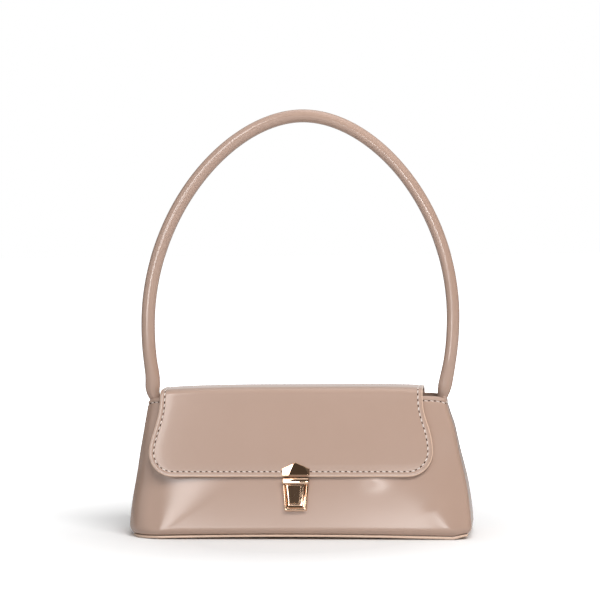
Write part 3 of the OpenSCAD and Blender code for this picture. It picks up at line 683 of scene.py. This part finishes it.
# %% Cut the flap
EDGE_D = np.array([0, .03, .12, .28, .5, .8, 1.2, 1.7, 2.2, 2.7, 3.1, 3.4, 3.7, 3.95, 4.2, 4.45,
                   4.7, 5, 5.4, 5.9, 6.6, 7.6, 9, 11, 13.5, 16.5])
inner_u = np.linspace(-1, 1, 92) * (1 - 18.5 / TOP_HALF)
flap_u = np.concatenate([-(1 - EDGE_D / TOP_HALF), inner_u, (1 - EDGE_D / TOP_HALF)[::-1]])
corner_rows = CORNER_R * (1 - np.cos(np.radians(np.linspace(0, 90, 62))))
front_rows = np.linspace(CORNER_R, front_fold_s - 4, 34)[1:]
fold_rows = np.arange(front_fold_s - 3.4, crest_s - 8, 0.55)
bridge_rows = np.linspace(crest_s - 7.5, cut_s, 22)
flap_s = np.concatenate([corner_rows, front_rows, fold_rows, bridge_rows])


def flap_grid(u, s, inset=0.0):
    """x and s of a grid over the flap, whose columns follow its sides."""
    s = s[None, :] + 0 * u[:, None]
    return u[:, None] * (flap_half(s) - inset), s


def flap_sheet(x, s, d, edge, full, thick):
    """The sheet at distances d from its stitched edges. It dips 0.32 under the stitches, is
    0.18 fuller outside them, and stands full higher elsewhere."""
    sewn = 0.32 * hump(d, SEWN_IN, 0.6)
    full = full + 0.18 * hump(d, 2.3, 1.1)
    return slab(flap_at(x, s, edge + sewn - full), flap_at(x, s, np.maximum(thick - edge, edge)))


def flap_leather():
    """The leather of the flap. It is 2.1 thick where its edge is turned in and 1.2 inside,
    and stands 0.16 higher in the middle."""
    x, s = flap_grid(flap_u, flap_s)
    d = flap_edge(x, s)
    made = flap_sheet(x, s, d, edge_round(1.05, d), 0.16 * smooth(4.6, 11, d),
                      2.1 - 0.9 * smooth(5.6, 7.4, d))
    return made, np.concatenate([d.ravel(), d.ravel()])


def flap_behind():
    """The strip that is sewn on behind, 1.2 thick at the cut and 2.0 where it is sewn."""
    rows = end_s - np.array([8, 7, 6.2, 5.5, 5, 4.6, 4.3, 4, 3.6, 3, 2.4, 1.8, 1.3, .9, .55, .3,
                             .12, .03, 0])
    x, s = flap_grid(flap_u, np.concatenate([np.linspace(cut_s, end_s - 9, 34), rows]))
    side, low = TOP_HALF - np.abs(x), end_s - s
    thick = 2.1 - 0.9 * smooth(5.6, 7.4, side) + 0.8 * smooth(crest_s + 16, crest_s + 24, s)
    return flap_sheet(x, s, np.minimum(side, np.where(low < 12, low, 99)),
                      np.maximum(edge_round(1.05, side), edge_round(0.95, low)),
                      0.16 * smooth(4.6, 11, side) * smooth(4.6, 11, low),
                      np.minimum(thick, 2.1))


shape, edge_d = flap_leather()
flap = add_piece("flap_leather", shape, None, ["flap_front", "flap_bridge"],
                 edge=edge_d)
flap_back = add_piece("flap_hinge_leather", flap_behind(), None, ["flap_anchor"])
leather_pieces += [flap, flap_back]


# %% Line the flap
CLOTH_IN = 2.2


def flap_cloth():
    """The cloth under the flap, 0.38 thick, from 2.2 inside the edge."""
    turn = 1 - np.cos(np.radians(np.linspace(0, 90, 16)))
    rows = np.concatenate([CLOTH_IN + (CORNER_R - CLOTH_IN) * turn,
                           np.linspace(CORNER_R, front_fold_s - 4, 24)[1:],
                           np.linspace(front_fold_s - 3, crest_s + 14, 50)])
    u = np.linspace(-1, 1, 80)[:, None]
    s = rows[None, :] + 0 * u
    x = u * flap_half(s, CLOTH_IN)
    return slab(flap_at(x, s, 2.12), flap_at(x, s, 2.5))


def stiffener():
    """The board between leather and cloth, 0.6 thick, from 14 inside the sides."""
    x, s = flap_grid(np.linspace(-1, 1, 60), np.linspace(9.5, front_fold_s - 7, 30), 14)
    return slab(flap_at(x, s, 1.3), flap_at(x, s, 1.9))


flap_board = add_piece("flap_board_sheet", stiffener(), "flap_front", ["flap_stiffener"])
flap_cloth_piece = add_piece("flap_lining_cloth", flap_cloth(), None,
                             ["flap_lining", "bridge_lining"])
cloth_pieces.append(flap_cloth_piece)


# %% Sew the flap
def flap_row(name, side_x, side_s, across, low_s, replaced, keep=None):
    """A row down one side of the flap, across it at low_s, and up the other side."""
    x = np.concatenate([side_x, across, -side_x[::-1]])
    s = np.concatenate([side_s, np.full(len(across), low_s), side_s[::-1]])
    row = flap_at(x, s, 0.3)
    return add_row(name, row, flap_at(x, s, -0.7) - row, None, replaced, keep=keep)


def clear_of_lock(p):
    """Whether a stitch is beside the catch plate, which covers 12.6 to either side."""
    return (np.abs(p[:, 0]) > 12.6) | (p[:, 2] > 70)


turn = np.radians(np.linspace(0, 90, 60))[1:]
inner_r = CORNER_R - SEWN_IN
side_s = np.linspace(cut_s - 1, CORNER_R, 220)
front_row = flap_row("flap",
                     np.concatenate([flap_half(side_s) - SEWN_IN,
                                     LOW_HALF - CORNER_R + inner_r * np.cos(turn)]),
                     np.concatenate([side_s, CORNER_R - inner_r * np.sin(turn)]),
                     np.linspace(LOW_HALF - CORNER_R, CORNER_R - LOW_HALF, 300)[1:-1],
                     SEWN_IN, ["flap_stitching", "bridge_stitching"], clear_of_lock)
back_s = np.linspace(cut_s + 3.75, end_s - SEWN_IN, 60)
back_row = flap_row("hinge", np.full(60, TOP_HALF - SEWN_IN), back_s,
                    np.linspace(TOP_HALF - SEWN_IN, SEWN_IN - TOP_HALF, 240)[1:-1],
                    end_s - SEWN_IN, ["anchor_stitching"])

# %% Bake the flap's placement into its meshes
for made in (flap, flap_cloth_piece, *front_row):
    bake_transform(made)
for made in (flap_back, *back_row):
    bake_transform(made)

# %% [markdown]
# ## The handle
# The handle is a strip of leather rolled round a rope and sewn along its back. At each end it
# has no rope in it, so it is pinched flat, with small pleats, and goes down inside the mouth.
# It is an oval carried along a curve. The curve is two Bezier arcs, mirrored.

# %% Work out the handle's line
HINGE_Z, FOOT_X = 112.0, 118.0
CREST, WIDEST = (0, 344.4), (126.2, 175.5)
HANDLE_R, LEAN_RIGHT, LEAN_RISE = 5.35, 5.2, 232


def bezier(a, b, c, d, n):
    """n points of the cubic with those four control points."""
    t = np.linspace(0, 1, n)[:, None]
    a, b, c, d = (np.array(p, float) for p in (a, b, c, d))
    return (1 - t) ** 3 * a + 3 * (1 - t) ** 2 * t * b + 3 * (1 - t) * t * t * c + t**3 * d


upper = bezier(CREST, (59, CREST[1]), (WIDEST[0], 268), WIDEST, 400)
lower = bezier(WIDEST, (WIDEST[0], 147.5), (FOOT_X + 4, 131), (FOOT_X, HINGE_Z), 200)
foot = lower[-1] + np.linspace(0, 1, 30)[1:, None] * np.array([-1.5, -8.0])
half = np.concatenate([upper, lower[1:], foot])
line = np.concatenate([(half * [-1, 1])[::-1], half[1:]])
line_s = lengths(line)
even = np.linspace(0, line_s[-1], 420)
line = sample(line, line_s, even)
line[:, 0] += LEAN_RIGHT * np.clip(line[:, 1] - HINGE_Z, 0, None) / LEAN_RISE
line[:, 0] -= np.where(line[:, 0] < 0, 2.2, 0) * hump(line[:, 1], 118, 9)
outward = left_of(line)
print("handle length", round(line_s[-1]), "mm")


# %% Roll the handle
def handle_radii(z):
    """Half thickness in the plane of the handle and across it, at height z. It is 5.35 both
    ways over the rope. The empty foot is 5.85 and 4.55, and is pinched to 2.95 and 3.35
    where it goes into the mouth."""
    empty = smooth(0, 24, HINGE_Z + 34 - z)
    pinched = smooth(-2, 18, HINGE_Z + 10 - z)
    return HANDLE_R + 0.5 * empty - 2.9 * pinched, HANDLE_R - 0.8 * empty - 1.2 * pinched


def tube(shrink=0.0, sides=48, low=None, twist=None):
    """The oval (thin cos a, wide sin a) carried along the line. The left leg is 0.35 thicker
    and the right one 0.1 thinner. A cover has a groove where it is sewn at the back, and
    pleats near its feet, and a rope has three strands, twisted."""
    keep = np.ones(len(line), bool) if low is None else line[:, 1] > low
    centre, out, along = line[keep], outward[keep], even[keep][:, None]
    a = np.linspace(0, 2 * np.pi, sides, endpoint=False)
    thin, wide = handle_radii(centre[:, 1])
    thin = thin + 0.35 * smooth(0, 90, -centre[:, 0]) - 0.1 * smooth(0, 90, centre[:, 0])
    if twist is None:
        near = smooth(0, 30, HINGE_Z + 24 - centre[:, 1])[:, None]
        ripple = 1 + near * (0.05 * np.cos(5 * a + 0.7) + 0.035 * np.cos(9 * a - 0.4))
        ripple = ripple - 0.055 * hump(a, np.pi / 2, 0.09)[None, :]
        ripple = ripple + 0.006 * np.sin(along / 17) * np.cos(a * 2 + along / 60)
    else:
        ripple = 1 + 0.13 * np.cos(3 * (a[None, :] - along / twist))
    in_plane = (thin - shrink)[:, None] * np.cos(a) * ripple
    across = (wide - shrink)[:, None] * np.sin(a) * ripple
    return loft(capped(np.stack([centre[:, :1] + in_plane * out[:, :1], across,
                                 centre[:, 1:] + in_plane * out[:, 1:]], -1)))


handle = add_piece("handle_leather", tube(), None, ["handle_cover"], sharp=60)
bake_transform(handle)
rope = add_piece("handle_rope", tube(1.7, 24, 128, 5.5), "handle", ["handle_core"], 80)

SEAM_LOW, SEAM_BACK = 140, 5.2
seam_line = line[line[:, 1] > SEAM_LOW]
seam_row = np.stack([seam_line[:, 0], np.full(len(seam_line), SEAM_BACK), seam_line[:, 1]], -1)
add_row("handle", seam_row, np.zeros_like(seam_row) + [0, 1, 0], "handle",
        ["handle_stitching"], size=0.9)


# %% Make the tabs
def tab(corner_a, corner_b, angle):
    """A leather tab inside the end of the mouth, 20 high and 1.8 thick, with round edges."""
    share = np.linspace(0.12, 0.88, 25)
    down = np.array([20, 19.9, 19.6, 19.1, 18, 15, 12, 9, 6, 4, 2.4, 1.2, 0.9, 0.4, 0.1, 0])
    z = 107.6 - down[None, :] + 0 * share[:, None]
    ends = np.maximum(np.minimum(share, 1 - share)[:, None] * 34 - 4, 0)
    edge = edge_round(0.9, np.minimum(np.minimum(down, 20 - down)[None, :], ends))
    return sheet(straight(corner_a, corner_b, angle, share), z, 2.42 + edge, 4.22 - edge)


leather_pieces += [
    add_piece("left_tab_leather", tab(3, 0, 180), "body", ["left_handle_tab"]),
    add_piece("right_tab_leather", tab(1, 2, 0), "body", ["right_handle_tab"]),
]

# %% [markdown]
# ## The press lock
# The lock is die-cast, polished and plated. What makes it read as metal is its bevels: each
# edge is a narrow face that catches another part of the room. A Bevel modifier would round
# all edges alike. Here each part is an outline at several insets and depths, so each bevel
# has its own width and slope.

# %% Lay out the lock's outlines
LOCK_PLACE, CATCH_PLACE = (34.0, 0), (56.3, 3.52)
metal_pieces = []


def rounded(corners, radius, n=5):
    """A convex outline with round corners, as a function of how far to draw it in. Going in
    by i, a point is its corner, set in by the larger of i and the radius, plus what is left
    of the radius along its direction."""
    corners = np.array(corners, float)
    e0, e1 = unit(corners - np.roll(corners, 1, 0)), unit(np.roll(corners, -1, 0) - corners)
    n0, n1 = np.stack([e0[:, 1], -e0[:, 0]], -1), np.stack([e1[:, 1], -e1[:, 0]], -1)
    mitre = (n0 + n1) / (1 + (n0 * n1).sum(1, keepdims=True))
    t = np.linspace(0, 1, n)[None, :, None]
    direction = unit(n0[:, None] * (1 - t) + n1[:, None] * t)

    def draw(inset):
        deep = max(inset, radius)
        p = corners[:, None] - deep * mitre[:, None] + (deep - inset) * direction
        return p.reshape(-1, 2)

    return draw


def trapezoid(top_w, top_z, low_w, low_z):
    """The corners, in order against the clock."""
    return [(-low_w, low_z), (low_w, low_z), (top_w, top_z), (-top_w, top_z)]


def at_depth(p, y):
    """An outline as a ring at depth y, or at a depth for each point."""
    return np.stack([p[:, 0], y + 0 * p[:, 0], p[:, 1]], -1)


def add_metal(name, rings, body, replaced, place=LOCK_PLACE, closed=False):
    """Lofts rings in the lock's own axes, with -Y out of the front, and lays the part on the
    front panel at a height and at a standoff from it."""
    points, quads = loft(np.array(rings), closed)
    x, y, z = points.T
    height, standoff = place
    a = float(lean(height))
    y0 = -half_depth(height) - standoff * math.cos(a)
    z0 = height + standoff * math.sin(a)
    points = np.stack([x, y0 + y * math.cos(a) + z * math.sin(a),
                       z0 - y * math.sin(a) + z * math.cos(a)], -1)
    metal_pieces.append(add_piece(name, (points, quads), body, [replaced], 30))


# %% Make the frame and the button of the lock
outer_line = rounded(trapezoid(10.6, 10.9, 9.1, -10.8), 1.3)(0)
hole_line = rounded(trapezoid(7.62, 10.82, 5.9, -6.88), 0.5)(0)
# Share of the way from the outer line to the hole, and depth there
plate_levels = [(0, 0.25), (0, -2.9), (0.06, -3.55), (0.16, -3.98), (0.28, -4.18), (0.46, -4.2),
                (0.56, -4.05), (0.72, -3.45), (0.9, -3.3), (1.0, -3.3), (1.0, 0.25)]
add_metal("lock_plate_metal", [at_depth(outer_line + m * (hole_line - outer_line), y)
                               for m, y in plate_levels], "body", "lock_plate", closed=True)

button = rounded(trapezoid(7.35, 10.6, 5.65, -6.6), 0.6)
face = rounded([(-4.5, -5.0), (3.3, -5.0), (4.7, 10.3), (-6.2, 10.3)], 0.3)
# Outline, how far it is drawn in, and depth: the sides, a bevel, and a sunk face
button_levels = [(button, 0, -2.5), (button, 0, -5.1), (button, 0.08, -5.4),
                 (button, 0.2, -5.55), (face, 0, -5.82), (face, 0.12, -5.8), (face, 0.3, -5.55),
                 (face, 0.5, -5.55), (face, 0.9, -5.55)]
add_metal("push_button_metal", capped([at_depth(draw(i), y) for draw, i, y in button_levels]),
          "button", "push_button")


# %% Make the bar and the catch
def bar_rings():
    """The bar over the lock: a block with a bowed front, and a slot in its top where the
    catch goes in. Its rings run up the outside, in at the top and down the slot."""
    out = rounded([(-11, -6.2), (11, -6.2), (11, -0.3), (-11, -0.3)], 1.1, 7)
    slot = rounded([(-4.6, -5.2), (4.6, -5.2), (4.6, -0.4), (-4.6, -0.4)], 0.3, 7)
    levels = [(out, 2.0, 10.97), (out, 0.8, 10.97), (out, 0.3, 11.2), (out, 0, 11.8),
              (out, 0, 15.0), (out, 0.3, 15.55), (out, 0.55, 15.75), (out, 0.7, 15.8),
              (slot, -0.15, 15.8), (slot, 0, 15.65), (slot, 0, 13.0)]
    rings = []
    for draw, inset, z in levels:
        x, y = draw(inset).T
        bow = 0.15 * np.clip(-1.9 - x, 0, None) + 0.02 * np.clip(x, 0, None)
        rings.append(np.stack([x, y + bow * smooth(2, 5.5, -y), z + 0 * x], -1))
    return capped(rings)


def catch_rings():
    """The five-sided plate on the flap. Its face has a main facet, one that slopes to the left
    by 0.165 beyond a line from the top, and a small one at the right. Rings that shrink to
    the middle carry them across the face."""
    corners = [(-11.35, -4.9), (11.35, -4.9), (11.35, 1.0), (0, 6.0), (-11.35, 1.0)]
    draw = rounded(corners, 0.5)

    def dense(p):
        """The closed outline p as 171 even steps."""
        q = np.concatenate([p, p[:1]])
        s = lengths(q)
        return sample(q, s, np.linspace(0, s[-1], 172)[:-1])

    levels = [(dense(draw(i)), y) for i, y in
              [(0, 0.0), (0, -0.85), (0.08, -1.2), (0.2, -1.45), (0.38, -1.58), (0.55, -1.6)]]
    levels += [(levels[-1][0] * k, -1.6) for k in np.linspace(0.97, 0, 34)]
    rings = []
    for p, y in levels:
        left = np.clip(-5.4 + (p[:, 1] + 4) * 0.42 - p[:, 0], 0, None) * 0.165
        far_right = np.clip(p[:, 0] + 0.5 * p[:, 1] - 8.2, 0, None) * 0.3
        rings.append(at_depth(p, y + (left + far_right) * smooth(0.2, 1.4, -y)))
    return capped(rings)[:-1]


add_metal("lock_bar_metal", bar_rings(), "body", "lock_bar")
add_metal("catch_plate_metal", catch_rings(), "flap_front", "catch_plate", CATCH_PLACE)

# %% [markdown]
# ## Materials
# Each finish starts from what the real one is. One function adds a node, sets its values and
# links its sockets, and another turns a written colour to the linear numbers that the
# renderer works with. Patterns read Object coordinates in metres, so a scale of 1000 repeats
# about once a millimetre.

# %% Write colours and nodes
def colour(code):
    """Linear red, green, blue and 1 from an sRGB hex code: ((c + 0.055) / 1.055)^2.4."""
    c = np.array([int(code[i:i + 2], 16) for i in (0, 2, 4)]) / 255
    linear = np.where(c <= 0.04045, c / 12.92, ((c + 0.055) / 1.055) ** 2.4)
    return (*(float(v) for v in linear), 1.0)


def grey(level):
    """A grey whose linear red, green and blue are the same."""
    return level, level, level, 1


def fill(made, sockets):
    """Fills a node's sockets. One that is given a node is linked to the first output that
    the node uses, one that is given an output to that, and any other is set."""
    for name, value in sockets.items():
        if isinstance(value, bpy.types.Node):
            value = next(out for out in value.outputs if out.enabled)
        if isinstance(value, bpy.types.NodeSocket):
            made.id_data.links.new(value, made.inputs[name])
        else:
            made.inputs[name].default_value = value


def node(tree, kind, sockets=None, **settings):
    """Adds a shader node of a kind with its settings, and fills its sockets."""
    made = tree.nodes.new("ShaderNode" + kind)
    for name, value in settings.items():
        setattr(made, name, value)
    fill(made, sockets or {})
    return made


def start_tree(owner):
    """The empty node tree of a material or a world."""
    owner.use_nodes = True
    owner.node_tree.nodes.clear()
    return owner.node_tree


def start_material(name):
    """A new material with a Principled shader on its output, and its Object coordinates."""
    made = bpy.data.materials.new(name)
    tree = start_tree(made)
    shader = node(tree, "BsdfPrincipled")
    node(tree, "OutputMaterial", {"Surface": shader})
    return made, tree, shader, node(tree, "TexCoord").outputs["Object"]


def dress(pieces, material):
    """Gives the material to each piece, in its first slot."""
    for piece in pieces:
        if piece.data.materials:
            piece.data.materials[0] = material
        else:
            piece.data.materials.append(material)
    print(material.name, "on", len(pieces), "pieces")


# %% [markdown]
# ### Leather
# The leather is smooth calf with a thin clear coat. Its colour varies by a few percent, its
# grain is cells of 0.7 mm that hardly show, and the coat gives the long soft highlights. The
# handle is rubbed smoother by the hand, and the cut edges are painted paler.

# %% Mix the leather
def leather(name, low, high, rough, coat, grain):
    """Calf leather between two near colours. coat is the roughness of its clear coat. Soft
    waves 17 mm apart are raised by 0.4 mm, pores by 0.04 mm and the cells by 0.03 mm."""
    made, tree, shader, place = start_material(name)
    cloud = node(tree, "TexNoise", {"Vector": place, "Scale": 22.0, "Detail": 3.0})
    tint = node(tree, "Mix", {0: cloud, 6: colour(low), 7: colour(high)}, data_type="RGBA")
    cells = node(tree, "TexVoronoi", {"Vector": place, "Scale": 1500.0})
    pores = node(tree, "TexNoise", {"Vector": place, "Scale": 900.0, "Detail": 3.0})
    waves = node(tree, "TexNoise", {"Vector": place, "Scale": 60.0, "Detail": 2.0})
    sheen_map = node(tree, "MapRange", {"Value": pores, "From Min": 0.3, "From Max": 0.7,
                                        "To Min": rough - 0.04, "To Max": rough + 0.05})
    bump = node(tree, "Bump", {"Height": waves, "Strength": 0.25, "Distance": 0.0004})
    bump = node(tree, "Bump", {"Height": pores, "Strength": grain, "Distance": 0.00004,
                               "Normal": bump})
    bump = node(tree, "Bump", {"Height": cells, "Strength": grain, "Distance": 0.00003,
                               "Normal": bump})
    fill(shader, {"Base Color": tint, "Roughness": sheen_map, "Normal": bump, "IOR": 1.46,
                  "Coat Weight": 1.0, "Coat Roughness": coat, "Coat IOR": 1.5})
    return made


painted_edge = leather("painted_leather_edge", "E3C2AA", "E9CBB5", 0.5, 0.3, 0.2)
dress(leather_pieces, leather("coated_calf_leather", "B99A88", "BE9F8E", 0.62, 0.22, 0.2))
flap.data.materials.append(painted_edge)
dress([handle], leather("polished_handle_leather", "B99A88", "BE9F8E", 0.62, 0.12, 0.0))
dress([base_edge], painted_edge)
# The welt cord is coloured dark brown as painted shade of the groove over the base edge
dress([base_welt], leather("welt_leather_painted_shade", "6B5142", "735848", 0.6, 0.4, 0.3))


# %% [markdown]
# ### Thread, holes and cloth
# The thread is waxed and twisted, and paler than the leather. The needle holes are coloured
# near black as painted shade, since no light gets into them. The lining is a plain weave with
# threads 0.45 mm apart.

# %% Mix thread and cloth
def patterned(name, pattern, low, high, relief, finish, **settings):
    """A finish of one pattern, which tints it from low to high and raises it by relief, which
    is the bump's strength and its distance in metres."""
    made, tree, shader, place = start_material(name)
    marks = node(tree, pattern[0], {"Vector": place, **pattern[1]}, **settings).outputs["Fac"]
    tint = node(tree, "Mix", {0: marks, 6: colour(low), 7: colour(high)}, data_type="RGBA")
    if relief:
        finish["Normal"] = node(tree, "Bump", {"Height": marks, "Strength": relief[0],
                                               "Distance": relief[1]})
    fill(shader, {"Base Color": tint, **finish})
    return made


def weave(name, low, high, pitch):
    """Plain woven cloth: two sets of waves at right angles, pitch millimetres apart. A wave
    texture repeats after 0.314 over its scale."""
    made, tree, shader, place = start_material(name)
    turned_place = node(tree, "Mapping", {"Vector": place, "Rotation": (0, 0, 0.02)})
    warp, weft = (node(tree, "TexWave", {"Vector": turned_place, "Scale": 0.314 / (pitch * MM)},
                       bands_direction=way).outputs["Fac"] for way in ("X", "Z"))
    woven = node(tree, "Math", {0: warp, 1: weft}, operation="MULTIPLY")
    cloud = node(tree, "TexNoise", {"Vector": place, "Scale": 70.0, "Detail": 4.0})
    share = node(tree, "Math", {0: woven, 1: cloud}, operation="MULTIPLY")
    tint = node(tree, "Mix", {0: share, 6: colour(low), 7: colour(high)}, data_type="RGBA")
    bump = node(tree, "Bump", {"Height": woven, "Strength": 0.6, "Distance": 0.0001})
    fill(shader, {"Base Color": tint, "Normal": bump, "Roughness": 0.85, "Sheen Weight": 0.3})
    return made


# Waxed thread has a fine twist, which gives each stitch a broken shine
dress(thread_pieces, patterned("waxed_sewing_thread",
                               ("TexWave", {"Scale": 900.0, "Distortion": 0.5}), "F1E5DB",
                               "FBF4EE", (0.5, 0.00005), {"Roughness": 0.5, "Sheen Weight": 0.1},
                               bands_direction="DIAGONAL"))
# The inside of a hole is coloured near black as painted shade, and hardly shines
dress(hole_pieces, patterned("needle_hole_painted_shade", ("TexNoise", {"Scale": 1500.0}), "1E130D",
                             "2E1F17", None, {"Roughness": 0.9, "Specular IOR Level": 0.1}))
dress(cloth_pieces, weave("woven_lining_cloth", "B79C82", "D9C3AC", 0.45))
dress([rope], weave("cotton_rope", "CFC6B4", "E9E2D3", 0.6))

# %% [markdown]
# ### Metal and board
# The lock is plated in a pale rose gold and polished, so it mirrors the room, with hairline
# marks that only a close look finds. What lies behind the leather is plain zinc plate, and
# the stiffeners are pressed fibre board.

# %% Mix metal and board
def metal(name, low, high, rough, marks):
    """Plated metal. Fine noise along one direction changes the roughness a little."""
    made, tree, shader, place = start_material(name)
    cloud = node(tree, "TexNoise", {"Vector": place, "Scale": 120.0, "Detail": 2.0})
    tint = node(tree, "Mix", {0: cloud, 6: colour(low), 7: colour(high)}, data_type="RGBA")
    drawn = node(tree, "Mapping", {"Vector": place, "Scale": (1.0, 1.0, 14.0)})
    lines = node(tree, "TexNoise", {"Vector": drawn, "Scale": 400.0, "Detail": 3.0})
    polish = node(tree, "MapRange", {"Value": lines, "To Min": rough, "To Max": rough + marks})
    fill(shader, {"Base Color": tint, "Roughness": polish, "Metallic": 1.0})
    return made


dress([*metal_pieces, nodes["catch_hook"]],
      metal("polished_rose_gold_plate", "E2BD9F", "E8C8AE", 0.05, 0.05))
dress([nodes[n] for n in ("lock_housing", "lock_washer", "button_spring", "button_latch")],
      metal("zinc_plated_steel", "9A9A96", "ACACA8", 0.3, 0.2))
# Pressed board is grey-brown, with short fibres
dress([flap_board, board], patterned("pressed_fibre_board",
                                     ("TexNoise", {"Scale": 500.0, "Detail": 5.0}), "6F5C48",
                                     "96826B", (0.3, 0.0001), {"Roughness": 0.85}))

# %% [markdown]
# ## Light and floor
# A catalogue studio is white all round but for the dark room behind the camera, which is what
# the front of the lock mirrors. The key light stands high at the right and isn't mirrored,
# and a weak one hangs over the bag. Three lights are only mirrored: a low one at the left of
# the camera and a small one beside it draw the lines along the handle and the glow of the
# lower front, and a tall board at the left lights the turned corner. The floor is white to
# the camera and keeps the bag's shadow.

# %% Place the lights
def soft_light(name, place, aim, size, power, diffuse=True, mirrored_too=True):
    """A rectangular light at a place, facing a point, in metres and watts."""
    data = bpy.data.lights.new(name, "AREA")
    data.shape = "RECTANGLE"
    data.size, data.size_y = size
    data.energy = power
    made = bpy.data.objects.new(name, data)
    way = unit(np.array(aim, float) - np.array(place, float))
    side = unit(np.cross(way, (0, 0, 1.0001)))
    made.matrix_world = placed(side, np.cross(side, way), -way, place)
    made.visible_diffuse, made.visible_glossy = diffuse, mirrored_too
    bpy.context.scene.collection.objects.link(made)
    print(name, power, "W")


soft_light("key_light", (0.6, -1.3, 1.45), (0, 0, 0.1), (1.4, 0.8), 29, mirrored_too=False)
soft_light("line_light", (-0.66, -2.0, 0.17), (0, 0, 0.2), (0.76, 0.3), 6.4, diffuse=False)
soft_light("right_light", (0.12, -2.14, 0.28), (0, 0, 0.2), (0.44, 0.26), 5.2, diffuse=False)
soft_light("top_soft_light", (0.1, 0.1, 1.7), (0, 0, 0.1), (1.2, 0.8), 3.4)
soft_light("left_board", (-0.88, -1.72, 0.95), (0, 0, 0.1), (0.6, 1.2), 17, diffuse=False)

# %% Paint the room
WORLD_LIGHT, ROOM, WALL = grey(0.26), (0.07, 0.058, 0.046, 1), grey(0.85)
world = bpy.data.worlds.new("studio")
bpy.context.scene.world = world
tree = start_tree(world)
direction = node(tree, "SeparateXYZ", {"Vector": node(tree, "TexCoord").outputs["Generated"]})
# The room is white behind the bag, over it, and at the left of its front
behind, above, left_wall, fore = (
    node(tree, "MapRange", {"Value": direction.outputs[axis], "From Min": low, "From Max": high},
         interpolation_type="SMOOTHSTEP")
    for axis, low, high in (("Y", 0.75, 0.95), ("Z", 0.45, 0.75), ("X", -0.62, -0.8),
                            ("Y", 0.15, -0.05)))
left_front = node(tree, "Math", {0: left_wall, 1: fore}, operation="MULTIPLY")
white_share = node(tree, "Math", {0: behind, 1: above}, operation="MAXIMUM")
white_share = node(tree, "Math", {0: white_share, 1: left_front}, operation="MAXIMUM")
mirrored = node(tree, "Mix", {0: white_share, 6: ROOM, 7: WALL}, data_type="RGBA")
path = node(tree, "LightPath")
by_kind = node(tree, "Mix", {0: path.outputs["Is Glossy Ray"], 6: WORLD_LIGHT, 7: mirrored},
               data_type="RGBA")
seen = node(tree, "Mix", {0: path.outputs["Is Camera Ray"], 6: by_kind, 7: grey(1)},
            data_type="RGBA")
node(tree, "OutputWorld", {"Surface": node(tree, "Background", {"Color": seen,
                                                                "Strength": 1.0})})
print("studio", len(tree.nodes), "nodes")

# %% Lay the floor
FLOOR_HALF = 6000
floor_points = np.array([[x, y, 0.0] for x in (-FLOOR_HALF, FLOOR_HALF)
                         for y in (-FLOOR_HALF, FLOOR_HALF)])
floor_mesh = bpy.data.meshes.new("studio_floor")
floor_mesh.from_pydata((floor_points * MM).tolist(), [], [(0, 2, 3, 1)])
floor = bpy.data.objects.new("studio_floor", floor_mesh)
bpy.context.scene.collection.objects.link(floor)
# To the camera the paper gets whiter from 0.1 to 1.2 m away from the bag
paper = bpy.data.materials.new("white_paper_sweep")
tree = start_tree(paper)
far = node(tree, "VectorMath", {0: node(tree, "TexCoord").outputs["Object"]},
           operation="LENGTH")
far_share = node(tree, "MapRange", {"Value": far, "From Min": 0.1, "From Max": 1.2})
white = node(tree, "Mix", {0: far_share, 6: grey(0.97), 7: grey(4.5)}, data_type="RGBA")
shade = node(tree, "Mix", {0: node(tree, "LightPath").outputs["Is Camera Ray"], 6: grey(0.8),
                           7: white}, data_type="RGBA")
matt = node(tree, "BsdfDiffuse", {"Color": shade})
node(tree, "OutputMaterial", {"Surface": matt})
dress([floor], paper)

bpy.context.scene.view_settings.view_transform = "Standard"
